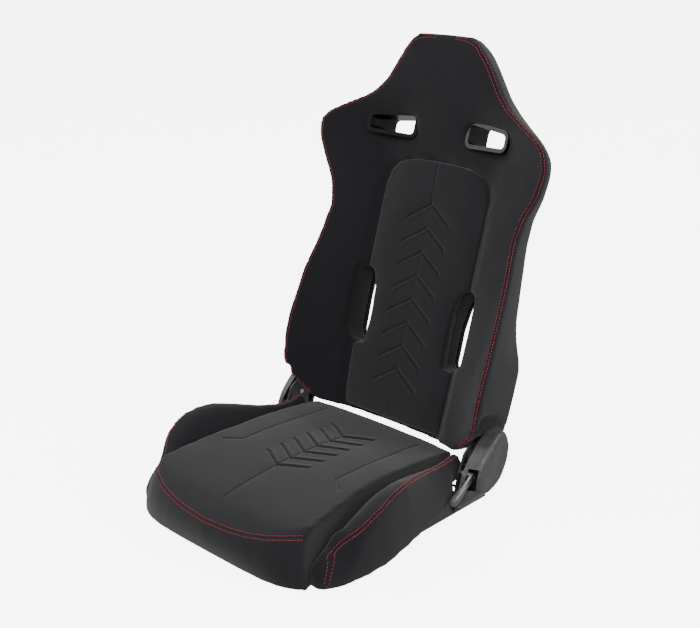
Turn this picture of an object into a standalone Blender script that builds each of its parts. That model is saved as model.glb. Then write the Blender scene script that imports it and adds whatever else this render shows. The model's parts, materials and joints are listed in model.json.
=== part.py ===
"""Reclining bucket seat for a road or track car.

Frame of the part: metres, +Z up, the sitter looks along -Y, +X is the sitter's left.
z = 0 is the underside of the two base rails. The origin is the middle of the footprint.

Two parts turn about one axis, the recline axis, which runs along X behind the cushion.
Everything in the backrest is drawn in the backrest's own frame, held by an empty:
local X is world X, local Z ("s") runs up the backrest from the recline axis, and
local Y is minus the forward depth "d", so a front surface has the larger d.
"""
import math

import bmesh
import bpy
from mathutils import Matrix, Vector

# ---------------------------------------------------------------- driving dimensions
GAP = 0.0003                    # clearance between pieces that touch
RUNNING = 0.0003                # clearance round a pin that turns
AXIS_Y, AXIS_Z = 0.115, 0.106   # recline axis
TILT = math.radians(17.0)       # backrest behind the vertical at rest
FOLD, RECLINE = math.radians(50.0), math.radians(45.0)

# Base rails, bolted to the car through their feet
RAIL_OUT = 0.235                # outer face of a rail's web
RAIL_WIDTH, RAIL_LIP = 0.038, 0.014
RAIL_HEIGHT = 0.040
RAIL_STEEL = 0.003
RAIL_FRONT, RAIL_REAR = -0.270, 0.165
MOUNT_X = 0.216                 # seat bolts: 432 mm apart across, 340 mm fore and aft
MOUNT_YS = (-0.205, 0.135)
MOUNT_HOLE_R = 0.0045

# Tubes and wires
TUBE_R = 0.011
CROSS_TUBE_YS = (-0.235, 0.060)
CROSS_TUBE_Z = 0.024
WIRE_R = 0.002
CUSHION_SPRING_XS = (-0.100, 0.0, 0.100)

# Recliner: fixed plate, then the sector plane, then the spring, then the cover
PLATE = 0.004
PLATE_IN = RAIL_OUT + GAP
SECTOR_IN = PLATE_IN + PLATE + 0.0005
SECTOR_OUT = SECTOR_IN + PLATE
PIN_START = 0.2325              # inboard end of the hub and pawl pins
HUB = (AXIS_Y, AXIS_Z)
HUB_R, HUB_POST_R = 0.0050, 0.0070
SECTOR_R = 0.026
TOOTH = 0.0015
TOOTH_PITCH = math.radians(5.65)
TOOTH_GAP = 0.0004
PAWL_ANGLE = math.radians(-95.0)
PAWL_PIVOT = (0.136, 0.062)
LEVER = (0.082, 0.084)
LEVER_BOSS_R = 0.0065
LEVER_ARM_X, SLAVE_ARM_X = 0.2620, 0.2540
PIN_R = 0.004
PLATE_BOLT_YS = (0.076, 0.128)
PLATE_BOLT_Z = 0.020
ARM_BOLT_SS = (0.100, 0.160)
BOLT_R, BOLT_HOLE_R = 0.0046, 0.0050
CABLE_END = (0.078, 0.052)
CABLE_R, CABLE_HOLE_R = 0.0028, 0.0047
POST_ANGLE, POST_REACH, POST_R = math.radians(192.0), 0.0293, 0.0026
COIL_INNER, COIL_OUTER, COIL_THICK, COIL_TURNS = 0.0090, 0.0240, 0.0016, 3.25
COIL_X = (0.2474, 0.2524)
COVER_RIM_X, COVER_FACE_X = 0.2490, 0.2840
COVER_WALL = 0.0025
SLIM_FACE_X = 0.2660            # the far side's cover has no grip to clear, so it is slimmer
LEVER_SLOT = [(0.030, 0.060), (0.086, 0.060), (0.086, 0.101), (0.030, 0.101)]
COVER_REACH = 0.088             # nothing that turns with the backrest may pass this close outboard

# Cushion
FOAM_BOTTOM = 0.041
PAD_HALF = 0.193                # half width of the middle pad
SKIRT_IN = 0.2395
SKIRT_FOOT_Y = -0.357           # front foot of the middle pad
BOLSTER_REAR_YS = (0.044, 0.097)
BOLSTER_REAR_BOTTOM = 0.067

# Backrest frame
FRAME_D = -0.060                # depth of the steel frame
FOAM_BACK_D = -0.0475           # back of the front foam, just ahead of the frame
LEG_X = 0.2285                  # frame leg beside the recliner arm, and higher up
LEG_TOP_X = 0.1830
TOP_TUBE_S = 0.5515
LOWER_BAR_S = 0.050
LOOP_R, HEAD_BORE_R = 0.0060, 0.0067
BACK_SPRINGS = ((0.090, 0.2130), (0.370, 0.1710), (0.450, 0.1690))   # height, half length
PANEL_D = (-0.0800, -0.0755)    # rear panel: rear and front face

# Backrest foam and its openings
INSERT_HALF = 0.134
SEAM_GAP = 0.0012               # between neighbouring foam pads
SEAM_ROLL = 0.006               # how far a side swells out beyond its seam
REAR_CORNER = 0.022
POCKET_OUT = 0.2480             # side of the room behind the foam, clear of frame and arm
PLATE_REACH = 0.034             # radius of the fixed plate round the hub, with room to spare
SLOT_INNER, SLOT_OUTER = 0.104, 0.152     # sides of a lumbar slot
LUMBAR = (0.142, 0.300)                   # ends of a lumbar slot
DISH = 0.125                    # half width of the flat middle
HARNESS_BAND = (0.5830, 0.6325)           # heights that the slots' bezels take
HARNESS_SIDES = (0.0612, 0.1797)          # and their sides
SHOULDER_S = (0.5365, 0.6335)             # bottom and top of a shoulder pad
HEAD_S = 0.6345
BOLSTER_SS = (0.030, 0.050, 0.078, 0.110, LUMBAR[0] - 0.004, LUMBAR[0] + 0.004, 0.200, 0.250, LUMBAR[1] - 0.004,
              LUMBAR[1] + 0.004, 0.350, 0.417, 0.466, 0.486, 0.503, 0.516, 0.526, 0.533, 0.535)
BEZEL_WALL, BEZEL_FLANGE, BEZEL_LIP = 0.0022, 0.0080, 0.0030
BEZEL_SPLIT, BEZEL_REAR = -0.0180, -0.0605


# ---------------------------------------------------------------- scene and materials
def clear_scene():
    for obj in list(bpy.data.objects):
        bpy.data.objects.remove(obj, do_unlink=True)


def new_collection(name):
    collection = bpy.data.collections.new(name)
    bpy.context.scene.collection.children.link(collection)
    return collection


clear_scene()
PARTS = new_collection("racing_seat")
CUTTERS = new_collection("cutters")

FINISHES = {
    "black_steel": ((0.030, 0.030, 0.032), 0.45, 0.6),
    "zinc_steel": ((0.55, 0.55, 0.56), 0.35, 1.0),
    "spring_steel": ((0.28, 0.28, 0.30), 0.38, 1.0),
    "knit_fabric": ((0.018, 0.018, 0.020), 0.92, 0.0),
    "insert_fabric": ((0.024, 0.024, 0.026), 0.90, 0.0),
    "grey_plastic": ((0.060, 0.058, 0.056), 0.55, 0.0),
    "lever_plastic": ((0.110, 0.108, 0.106), 0.48, 0.0),
    "gloss_plastic": ((0.010, 0.010, 0.011), 0.12, 0.0),
    "cable_sheath": ((0.020, 0.020, 0.020), 0.60, 0.0),
}


def finish_material(name, finish):
    colour, roughness, metallic = FINISHES[finish]
    material = bpy.data.materials.new(name + "_" + finish)
    material.use_nodes = True
    shader = material.node_tree.nodes["Principled BSDF"]
    shader.inputs["Base Color"].default_value = (*colour, 1.0)
    shader.inputs["Roughness"].default_value = roughness
    shader.inputs["Metallic"].default_value = metallic
    return material


def axis_empty(name, location, tilt=0.0):
    empty = bpy.data.objects.new(name, None)
    empty.location = location
    empty.rotation_euler = (tilt, 0.0, 0.0)
    PARTS.objects.link(empty)
    return empty


def adopt(obj, name, finish, parent):
    """Name an object, give it its own material and hang it on its parent."""
    obj.name = name
    obj.data.name = name
    obj.data.materials.clear()
    obj.data.materials.append(finish_material(name, finish))
    obj.parent = parent
    if obj.name not in PARTS.objects:
        PARTS.objects.link(obj)
    return obj


def place_under(obj, name, finish, axis):
    """Hang a piece drawn in the part's frame on a moving axis, without moving it."""
    adopt(obj, name, finish, axis)
    bpy.context.view_layer.update()
    obj.matrix_parent_inverse = axis.matrix_world.inverted()


# ---------------------------------------------------------------- shape helpers
def mesh_object(name, bm, smooth_angle=None):
    bmesh.ops.recalc_face_normals(bm, faces=bm.faces)
    mesh = bpy.data.meshes.new(name)
    bm.to_mesh(mesh)
    bm.free()
    if smooth_angle is not None:
        mesh.shade_smooth()
        mesh.set_sharp_from_angle(angle=math.radians(smooth_angle))
    return bpy.data.objects.new(name, mesh)


def loft(name, rings, smooth_angle=40.0):
    """A closed solid through rings of equally many points, with flat ends."""
    bm = bmesh.new()
    loops = [[bm.verts.new(point) for point in ring] for ring in rings]
    count = len(rings[0])
    for lower, upper in zip(loops, loops[1:]):
        for i in range(count):
            j = (i + 1) % count
            bm.faces.new((lower[i], lower[j], upper[j], upper[i]))
    bm.faces.new(list(reversed(loops[0])))
    bm.faces.new(loops[-1])
    bmesh.ops.triangulate(bm, faces=[face for face in bm.faces if len(face.verts) > 4])
    return mesh_object(name, bm, smooth_angle)


def extrusion(name, outline, low, high, axis="X", smooth_angle=30.0):
    """An outline of (a, b) points made solid between two planes across an axis."""
    def place(a, b, level):
        return {"X": (level, a, b), "Y": (a, level, b), "Z": (a, b, level)}[axis]
    bm = bmesh.new()
    base = bm.faces.new([bm.verts.new(place(a, b, low)) for a, b in outline])
    moved = bmesh.ops.extrude_face_region(bm, geom=[base])
    step = Vector(place(0.0, 0.0, high - low))
    verts = [item for item in moved["geom"] if isinstance(item, bmesh.types.BMVert)]
    bmesh.ops.translate(bm, verts=verts, vec=step)
    bmesh.ops.triangulate(bm, faces=[face for face in bm.faces if len(face.verts) > 4])
    return mesh_object(name, bm, smooth_angle)


def flat_plate(name, outlines, low, high, axis="X"):
    """A plate across X or Y: the first outline is its edge and the others are its holes."""
    curve = bpy.data.curves.new(name, "CURVE")
    curve.dimensions = "2D"
    curve.fill_mode = "BOTH"
    curve.extrude = (high - low) / 2
    for outline in outlines:
        spline = curve.splines.new("POLY")
        spline.points.add(len(outline) - 1)
        for point, (y, z) in zip(spline.points, outline):
            point.co = (y, z, 0.0, 1.0)
        spline.use_cyclic_u = True
    obj = bpy.data.objects.new(name, curve)
    if axis == "X":
        obj.location = ((low + high) / 2, 0.0, 0.0)
        obj.rotation_euler = (math.pi / 2, 0.0, math.pi / 2)
    else:
        obj.location = (0.0, (low + high) / 2, 0.0)
        obj.rotation_euler = (math.pi / 2, 0.0, 0.0)
    return obj


def tube(name, points, radius, sides=2, cyclic=False):
    """A round bar along a row of points; sides is the curve's bevel resolution."""
    curve = bpy.data.curves.new(name, "CURVE")
    curve.dimensions = "3D"
    curve.bevel_depth = radius
    curve.bevel_resolution = sides
    curve.use_fill_caps = True
    spline = curve.splines.new("POLY")
    spline.points.add(len(points) - 1)
    for point, co in zip(spline.points, points):
        point.co = (*co, 1.0)
    spline.use_cyclic_u = cyclic
    return bpy.data.objects.new(name, curve)


def solid_from_curve(obj):
    """The curve's evaluated shape as one closed mesh object, in the curve's place."""
    bpy.context.scene.collection.objects.link(obj)
    bpy.context.view_layer.update()
    evaluated = obj.evaluated_get(bpy.context.evaluated_depsgraph_get())
    mesh = bpy.data.meshes.new_from_object(evaluated)
    bm = bmesh.new()
    bm.from_mesh(mesh)
    bmesh.ops.remove_doubles(bm, verts=bm.verts, dist=0.00001)
    bm.to_mesh(mesh)
    bm.free()
    solid = bpy.data.objects.new(obj.name + "_solid", mesh)
    solid.matrix_world = obj.matrix_world
    bpy.data.objects.remove(obj)
    return solid


def turned(name, profile, steps=20):
    """A turned piece along X: profile is (radius, x) pairs from its far end inwards."""
    bm = bmesh.new()
    verts = [bm.verts.new((radius, 0.0, level)) for radius, level in profile]
    for first, second in zip(verts, verts[1:]):
        bm.edges.new((first, second))
    mesh = bpy.data.meshes.new(name)
    bm.to_mesh(mesh)
    bm.free()
    obj = bpy.data.objects.new(name, mesh)
    screw = obj.modifiers.new("turn", "SCREW")
    screw.steps = steps
    screw.render_steps = steps
    screw.use_merge_vertices = True
    screw.merge_threshold = 0.00005
    screw.use_smooth_shade = True
    obj.rotation_euler = (0.0, math.pi / 2, 0.0)
    return obj


def cylinder_cutter(name, radius, start, end, sides=16):
    """A wire-drawn cylinder between two points, used only to cut."""
    start, end = Vector(start), Vector(end)
    bm = bmesh.new()
    turn = (end - start).to_track_quat("Z", "Y").to_matrix().to_4x4()
    bmesh.ops.create_cone(bm, cap_ends=True, segments=sides, radius1=radius, radius2=radius,
                          depth=(end - start).length,
                          matrix=Matrix.Translation((start + end) / 2) @ turn)
    return as_cutter(mesh_object(name, bm))


def as_cutter(obj):
    obj.hide_render = True
    obj.display_type = "WIRE"
    CUTTERS.objects.link(obj)
    return obj


def cut(obj, cutter, parent=None):
    cutter.parent = parent
    boolean = obj.modifiers.new("cut_" + cutter.name, "BOOLEAN")
    boolean.operation = "DIFFERENCE"
    boolean.solver = "EXACT"
    boolean.object = cutter
    return obj


def join(obj, other, parent=None):
    """Join a second solid to the first with a union, keeping one body."""
    as_cutter(other)
    other.parent = parent
    boolean = obj.modifiers.new("join_" + other.name, "BOOLEAN")
    boolean.operation = "UNION"
    boolean.solver = "EXACT"
    boolean.object = other
    return obj


def circle(centre, radius, count=20, start=0.0, end=None):
    """Points round a circle, or along an arc from start to end."""
    y, z = centre
    if end is None:
        angles = [start + 2 * math.pi * i / count for i in range(count)]
    else:
        angles = [start + (end - start) * i / (count - 1) for i in range(count)]
    return [(y + radius * math.cos(a), z + radius * math.sin(a)) for a in angles]


def rounded(points, radius, steps=4):
    """An outline with each corner replaced by a short curve."""
    outline = []
    for i, corner in enumerate(points):
        corner = Vector(corner)
        before = Vector(points[i - 1])
        after = Vector(points[(i + 1) % len(points)])
        reach_in = min(radius, (before - corner).length * 0.45)
        reach_out = min(radius, (after - corner).length * 0.45)
        start = corner + (before - corner).normalized() * reach_in
        end = corner + (after - corner).normalized() * reach_out
        for step in range(steps + 1):
            t = step / steps
            point = start * (1 - t) ** 2 + corner * 2 * t * (1 - t) + end * t ** 2
            outline.append((point.x, point.y))
    return outline


def between(table, key, column):
    """A value from a table of rows, straight between the rows on either side of key."""
    if key <= table[0][0]:
        return table[0][column]
    for low, high in zip(table, table[1:]):
        if key <= high[0]:
            share = (key - low[0]) / (high[0] - low[0])
            return low[column] + share * (high[column] - low[column])
    return table[-1][column]


def smooth_route(points, per_span):
    """Points along a smooth curve through the given points (Catmull-Rom)."""
    ends = [2 * Vector(points[0]) - Vector(points[1]), 2 * Vector(points[-1]) - Vector(points[-2])]
    knots = [ends[0]] + [Vector(point) for point in points] + [ends[1]]
    route = []
    for a, b, c, d in zip(knots, knots[1:], knots[2:], knots[3:]):
        for step in range(per_span):
            t = step / per_span
            route.append(0.5 * (2 * b + (c - a) * t + (2 * a - 5 * b + 4 * c - d) * t * t
                                + (3 * b - a - 3 * c + d) * t ** 3))
    route.append(knots[-2])
    return [tuple(point) for point in route]


def mirrored(points, side):
    return [(side * x, y, z) for x, y, z in points]


def span(side, low, high):
    """An X interval on one side of the seat, in rising order."""
    return (low, high) if side > 0 else (-high, -low)


def side_name(side):
    return "left" if side > 0 else "right"


# ---------------------------------------------------------------- moving axes
HINGE = (0.0, AXIS_Y, AXIS_Z)
base_axis = axis_empty("base_origin", (0.0, 0.0, 0.0))
back_axis = axis_empty("recline_axis", HINGE, -TILT)
lever_axis = axis_empty("lever_axis", (0.0, *LEVER))
slave_axis = axis_empty("slave_axis", (0.0, *LEVER))
pawl_axes = {side: axis_empty("pawl_axis_" + side_name(side), (0.0, *PAWL_PIVOT)) for side in (1, -1)}


# ---------------------------------------------------------------- cushion frame
def base_rail(side):
    """A pressed C-section rail, with two seat-bolt holes in its foot and two in its web."""
    inner = RAIL_OUT - RAIL_WIDTH
    web = RAIL_OUT - RAIL_STEEL
    lip = RAIL_OUT - RAIL_LIP
    section = [(inner, 0.0), (RAIL_OUT, 0.0), (RAIL_OUT, RAIL_HEIGHT), (lip, RAIL_HEIGHT),
               (lip, RAIL_HEIGHT - RAIL_STEEL), (web, RAIL_HEIGHT - RAIL_STEEL), (web, RAIL_STEEL),
               (inner, RAIL_STEEL)]
    name = "base_rail_" + side_name(side)
    outline = [(side * x, z) for x, z in section]
    rail = extrusion(name, outline, RAIL_FRONT, RAIL_REAR, axis="Y")
    for i, y in enumerate(MOUNT_YS):
        hole = cylinder_cutter(f"{name}_foot_hole_{i}", MOUNT_HOLE_R,
                               (side * MOUNT_X, y, -0.01), (side * MOUNT_X, y, 0.01))
        cut(rail, hole)
    for i, y in enumerate(PLATE_BOLT_YS):
        hole = cylinder_cutter(f"{name}_web_hole_{i}", BOLT_HOLE_R,
                               (side * (web - 0.01), y, PLATE_BOLT_Z), (side * 0.25, y, PLATE_BOLT_Z))
        cut(rail, hole)
    adopt(rail, name, "black_steel", base_axis)


def cross_tube(name, y):
    half = RAIL_OUT - RAIL_STEEL - GAP
    adopt(tube(name, [(-half, y, CROSS_TUBE_Z), (half, y, CROSS_TUBE_Z)], TUBE_R, 3),
          name, "black_steel", base_axis)


def zigzag(start, end, swing, pitch):
    """Corner points of a zigzag wire from start to end, swinging across its length."""
    start, end = Vector(start), Vector(end)
    along = end - start
    turns = round(along.length / pitch)
    across = Vector(swing)
    points = [start]
    for i in range(turns):
        sign = 1 if i % 2 else -1
        for share in (0.15, 0.85):
            points.append(start + along * ((i + share) / turns) + across * sign)
    points.append(end)
    return [tuple(point) for point in points]


def cushion_spring(index, x):
    level = CROSS_TUBE_Z + TUBE_R + GAP + WIRE_R
    points = zigzag((x, CROSS_TUBE_YS[0] - 0.004, level), (x, CROSS_TUBE_YS[1] + 0.004, level),
                    (0.018, 0.0, 0.0), 0.034)
    name = f"cushion_spring_{index}"
    adopt(tube(name, points, WIRE_R), name, "spring_steel", base_axis)


# ---------------------------------------------------------------- cushion foam
# Top of the middle pad and the line of its nose seam, as (y, z) and (share of half width, y, z).
PAD_TOP = [(0.127, 0.090), (0.050, 0.104), (-0.060, 0.116), (-0.160, 0.117), (-0.240, 0.109)]
NOSE = [(0.0, -0.363, 0.073), (0.35, -0.358, 0.075), (0.65, -0.345, 0.081), (0.85, -0.328, 0.087),
        (1.0, -0.308, 0.092)]


def cushion_pad_ring(x):
    share = abs(x) / PAD_HALF
    nose_y = between(NOSE, share, 1)
    nose_z = between(NOSE, share, 2)
    side_lift = 0.003 * share ** 2
    foot_y = SKIRT_FOOT_Y + 0.009 * share ** 2
    top = [(x, y, z + side_lift) for y, z in PAD_TOP]
    nose = [(x, nose_y + 0.030, nose_z + 0.015), (x, nose_y, nose_z), (x, min(nose_y, foot_y) - 0.005, 0.045),
            (x, foot_y, 0.006), (x, foot_y + 0.014, 0.006), (x, max(nose_y, foot_y) + 0.024, FOAM_BOTTOM)]
    return top + nose + [(x, 0.090, FOAM_BOTTOM)]


def cushion_pad():
    shares = (-1.0, -0.85, -0.65, -0.35, 0.0, 0.35, 0.65, 0.85, 1.0)
    pad = loft("cushion_pad", [cushion_pad_ring(share * PAD_HALF) for share in shares])
    adopt(pad, "cushion_pad", "insert_fabric", base_axis)


# Cushion bolster: y, inner x, crest x, crest z, outer x, bottom z.
BOLSTER = [
    (-0.307, 0.206, 0.228, 0.036, 0.243, 0.013),
    (-0.294, 0.202, 0.234, 0.058, 0.257, 0.009),
    (-0.272, 0.200, 0.240, 0.078, 0.268, 0.008),
    (-0.250, 0.199, 0.254, 0.094, 0.274, 0.008),
    (-0.215, 0.198, 0.269, 0.120, 0.279, 0.010),
    (-0.172, 0.197, 0.273, 0.138, 0.281, 0.014),
    (-0.120, 0.197, 0.263, 0.144, 0.277, 0.021),
    (-0.065, 0.197, 0.246, 0.133, 0.270, 0.028),
    (-0.015, 0.197, 0.229, 0.118, 0.261, 0.033),
    (0.036, 0.197, 0.217, 0.108, 0.250, 0.038),
]


def cushion_bolster(side):
    rings = []
    for y, x_in, x_crest, z_crest, x_out, z_bottom in BOLSTER:
        floor = min(FOAM_BOTTOM, z_crest - 0.018)
        ring = [(x_in, y, floor), (x_in + 0.002, y, floor + 0.4 * (z_crest - floor)),
                (x_crest - 0.4 * (x_crest - x_in), y, floor + 0.88 * (z_crest - floor)),
                (x_crest, y, z_crest), ((x_crest + x_out) / 2 + 0.004, y, 0.80 * z_crest),
                (x_out, y, 0.5 * (z_crest + z_bottom)), (x_out - 0.006, y, z_bottom),
                (SKIRT_IN, y, z_bottom + 0.001), (SKIRT_IN, y, floor)]
        if y < BOLSTER[0][0] + 0.020:
            ring[-2] = (x_in + 0.010, y, z_bottom + 0.001)
            ring[-1] = (x_in + 0.004, y, z_bottom + 0.003)
        rings.append(ring)
    outer = RAIL_OUT - 2 * GAP
    for y in BOLSTER_REAR_YS:
        low = BOLSTER_REAR_BOTTOM
        rings.append([(0.197, y, low), (0.198, y, 0.083), (0.204, y, 0.100), (0.213, y, 0.105),
                      (0.224, y, 0.101), (outer, y, 0.088), (outer, y, low + 0.004),
                      (outer - 0.004, y, low + 0.001), (outer - 0.008, y, low)])
    name = "cushion_bolster_" + side_name(side)
    bolster = loft(name, [mirrored(ring, side) for ring in rings])
    adopt(bolster, name, "knit_fabric", base_axis)


def trim_stud(side):
    """The small stud that closes the bolster's seam at its lower front end."""
    name = "trim_stud_" + side_name(side)
    stud = turned(name, [(0.0, 0.0032), (0.0022, 0.0028), (0.0036, 0.0012), (0.0040, 0.0), (0.0, 0.0)], 14)
    stud.rotation_euler = (math.pi / 2, 0.0, 0.0)
    stud.location = (side * 0.2290, BOLSTER[0][0] - GAP, 0.024)
    adopt(stud, name, "zinc_steel", base_axis)


# ---------------------------------------------------------------- recliner, fixed side
def base_plate(side):
    """The fixed plate, bolted to the rail, that carries the hub, lever and pawl pins."""
    edge = [(0.060, 0.006), (0.150, 0.006), (0.151, 0.040), (0.145, 0.056), (0.139, 0.075)]
    edge += circle(HUB, 0.030, 12, math.radians(-38), math.radians(125))
    edge += [(0.086, 0.122), (0.076, 0.096), (0.070, 0.086), (0.064, 0.060)]
    holes = [circle(HUB, HUB_R + RUNNING, 20), circle(LEVER, PIN_R + RUNNING, 16),
             circle(PAWL_PIVOT, PIN_R + RUNNING, 16), circle(CABLE_END, CABLE_HOLE_R, 16)]
    holes += [circle((y, PLATE_BOLT_Z), BOLT_HOLE_R, 16) for y in PLATE_BOLT_YS]
    name = "recliner_base_plate_" + side_name(side)
    flat = flat_plate(name, [rounded(edge, 0.004, 2)] + holes, *span(side, PLATE_IN, PLATE_IN + PLATE))
    plate = solid_from_curve(flat)
    post = circle(circle(HUB, POST_REACH, 1, POST_ANGLE)[0], POST_R, 12)
    join(plate, extrusion(name + "_post", post, *span(side, PLATE_IN + 0.001, COIL_X[1] + 0.001)))
    adopt(plate, name, "black_steel", base_axis)

def place_turned(pin, name, side, centre, finish, parent=base_axis):
    """Put a piece turned along X on its axis, its outboard end away from the middle."""
    if side < 0:
        pin.rotation_euler = (0.0, -math.pi / 2, 0.0)
    pin.location = (0.0, *centre)
    adopt(pin, name, finish, parent)


def side_pin(name, side, centre, radius, start, head_at, head_radius, steps=12, parent=base_axis):
    """A headed pin along X; start and head_at are its distances from the middle."""
    head, edge = 0.0028, 0.0006
    profile = [(0.0, head_at + head), (head_radius - edge, head_at + head), (head_radius, head_at + head - edge),
               (head_radius, head_at), (radius, head_at), (radius, start + edge), (radius - edge, start),
               (0.0, start)]
    place_turned(turned(name, profile, steps), name, side, centre, "zinc_steel", parent)


def plate_bolt(side, index, y):
    name = f"plate_bolt_{side_name(side)}_{index}"
    start = RAIL_OUT - RAIL_STEEL - 0.012
    side_pin(name, side, (y, PLATE_BOLT_Z), BOLT_R, start, PLATE_IN + PLATE + GAP, 0.0085)


def hub_pin(side):
    """The pin that both the plates turn on; its split post holds the coil's inner end."""
    name = "hub_pin_" + side_name(side)
    head = SECTOR_OUT + GAP
    profile = [(0.0, COIL_X[1] + 0.0015), (HUB_POST_R - 0.0006, COIL_X[1] + 0.0015),
               (HUB_POST_R, COIL_X[1] + 0.0009), (HUB_POST_R, head + 0.0020), (0.0085, head + 0.0020),
               (0.0085, head), (HUB_R, head), (HUB_R, PIN_START), (0.0, PIN_START)]
    place_turned(turned(name, profile), name, side, HUB, "zinc_steel")


def pawl_pin(side):
    side_pin("pawl_pin_" + side_name(side), side, PAWL_PIVOT, PIN_R, PIN_START, SECTOR_OUT + GAP, 0.0060, 16)


def recline_spring(side):
    """The flat spiral spring that lifts the backrest, wound from the hub's post to the plate's."""
    steps = 18
    total = int(COIL_TURNS * steps)
    outside, inside = [], []
    for i in range(total + 1):
        share = i / total
        radius = COIL_INNER + (COIL_OUTER - COIL_INNER) * share
        if i == total:
            radius = POST_REACH - POST_R - COIL_THICK / 2 - GAP
        angle = POST_ANGLE + 2 * math.pi * COIL_TURNS * (1 - share)
        outside.append(circle(HUB, radius + COIL_THICK / 2, 1, angle)[0])
        inside.append(circle(HUB, radius - COIL_THICK / 2, 1, angle)[0])
    name = "recline_spring_" + side_name(side)
    spring = flat_plate(name, [outside + inside[::-1]], *span(side, *COIL_X))
    adopt(spring, name, "spring_steel", base_axis)


# ---------------------------------------------------------------- recliner covers
RIM = [(0.048, 0.032), (0.066, 0.088), (0.084, 0.113), (0.118, 0.143), (0.148, 0.161), (0.178, 0.157),
       (0.183, 0.122), (0.172, 0.072), (0.148, 0.018), (0.072, 0.012)]
FACE = [(0.078, 0.052), (0.078, 0.088), (0.090, 0.114), (0.115, 0.141), (0.135, 0.162), (0.158, 0.160),
        (0.172, 0.132), (0.168, 0.096), (0.146, 0.060), (0.112, 0.044)]


def blend_outline(share, inset=0.0):
    """The cover's outline between its rim (0) and its face (1), drawn in by inset."""
    points = [Vector(a).lerp(Vector(b), share) for a, b in zip(RIM, FACE)]
    middle = sum(points, Vector((0.0, 0.0))) / len(points)
    drawn = [middle + (point - middle) * (1 - inset / (point - middle).length) for point in points]
    return rounded([tuple(point) for point in drawn], 0.012, 2)


def recliner_cover(side):
    """A moulded tray over the recliner: rim at the seat, face outboard, open at the rim."""
    name = "recliner_cover_" + side_name(side)
    face_x = COVER_FACE_X if side > 0 else SLIM_FACE_X
    steps = [(0.0, 0.0, 0.0), (0.42, 0.45, 0.0), (0.77, 0.88, 0.0), (0.91, 0.97, 0.0012), (1.0, 1.0, 0.0045)]
    reach = 1.0 if side > 0 else 0.5
    levels = [(COVER_RIM_X + (face_x - COVER_RIM_X) * along, reach * share, inset) for along, share, inset in steps]
    bm = bmesh.new()
    walls = []
    for wall in (0.0, COVER_WALL):
        loops = []
        for x, share, inset in levels:
            level = min(x, face_x - wall)
            loops.append([bm.verts.new((side * level, y, z)) for y, z in blend_outline(share, inset + wall)])
        walls.append(loops)
    count = len(walls[0][0])
    for loops in walls:
        for lower, upper in zip(loops, loops[1:]):
            for i in range(count):
                j = (i + 1) % count
                bm.faces.new((lower[i], lower[j], upper[j], upper[i]))
        bm.faces.new(loops[-1])
    for i in range(count):
        j = (i + 1) % count
        bm.faces.new((walls[0][0][i], walls[0][0][j], walls[1][0][j], walls[1][0][i]))
    bmesh.ops.triangulate(bm, faces=[face for face in bm.faces if len(face.verts) > 4])
    cover = mesh_object(name, bm, 35.0)
    if side > 0:
        slot = extrusion("lever_slot", rounded(LEVER_SLOT, 0.003, 2), 0.2570, 0.2770)
        cut(cover, as_cutter(slot))
    adopt(cover, name, "grey_plastic", base_axis)


# ---------------------------------------------------------------- release lever, pawls, cable
def pawl(side):
    """A toothed pawl under the hub. Its tips stand just clear of the sector's teeth."""
    tip = SECTOR_R + TOOTH_GAP
    teeth = []
    for i in range(4):
        low = PAWL_ANGLE + (1.5 - i) * TOOTH_PITCH
        teeth.append(circle(HUB, tip + TOOTH, 1, low + 0.22 * TOOTH_PITCH)[0])
        teeth.append(circle(HUB, tip, 1, low - 0.22 * TOOTH_PITCH)[0])
    edge = [(0.124, 0.0775)] + teeth + [(0.1010, 0.0775), (0.0965, 0.0725), (0.0975, 0.0665)]
    edge += [(0.112, 0.0615)] + circle(PAWL_PIVOT, 0.0085, 7, math.radians(-110), math.radians(75))
    name = "locking_pawl_" + side_name(side)
    plate = flat_plate(name, [edge, circle(PAWL_PIVOT, PIN_R + RUNNING, 16)],
                       *span(side, SECTOR_IN, SECTOR_IN + PLATE))
    place_under(plate, name, "zinc_steel", pawl_axes[side])


def lever_core(side, name, arm_outline, arm_x, finish, axis):
    """A boss on the lever pin with a tail over the pawl and an arm outboard."""
    tail = [(0.078, 0.089), (0.087, 0.090), (0.1000, 0.0790), (0.0985, 0.0738), (0.0955, 0.0740), (0.083, 0.0785),
            (0.0775, 0.0795)]
    low, high = span(side, SECTOR_IN, SECTOR_IN + PLATE)
    core = extrusion(name, circle(LEVER, LEVER_BOSS_R, 20), *span(side, SECTOR_IN, arm_x + PLATE))
    join(core, extrusion(name + "_tail", rounded(tail, 0.002, 1), low, high), axis)
    join(core, extrusion(name + "_arm", arm_outline, *span(side, arm_x, arm_x + PLATE)), axis)
    hole = cylinder_cutter(name + "_hole", PIN_R + RUNNING, (side * 0.23, *LEVER), (side * 0.28, *LEVER))
    cut(core, hole, axis)
    for cutter in core.modifiers:
        cutter.object.matrix_parent_inverse = axis.matrix_world.inverted()
    place_under(core, name, finish, axis)


def release_lever():
    arm = rounded([(0.0885, 0.0895), (0.0885, 0.0775), (0.060, 0.0655), (0.040, 0.0560), (0.036, 0.0640),
                   (0.058, 0.0770), (0.076, 0.0895)], 0.004, 2)
    lever_core(1, "release_lever", arm, LEVER_ARM_X, "zinc_steel", lever_axis)


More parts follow.
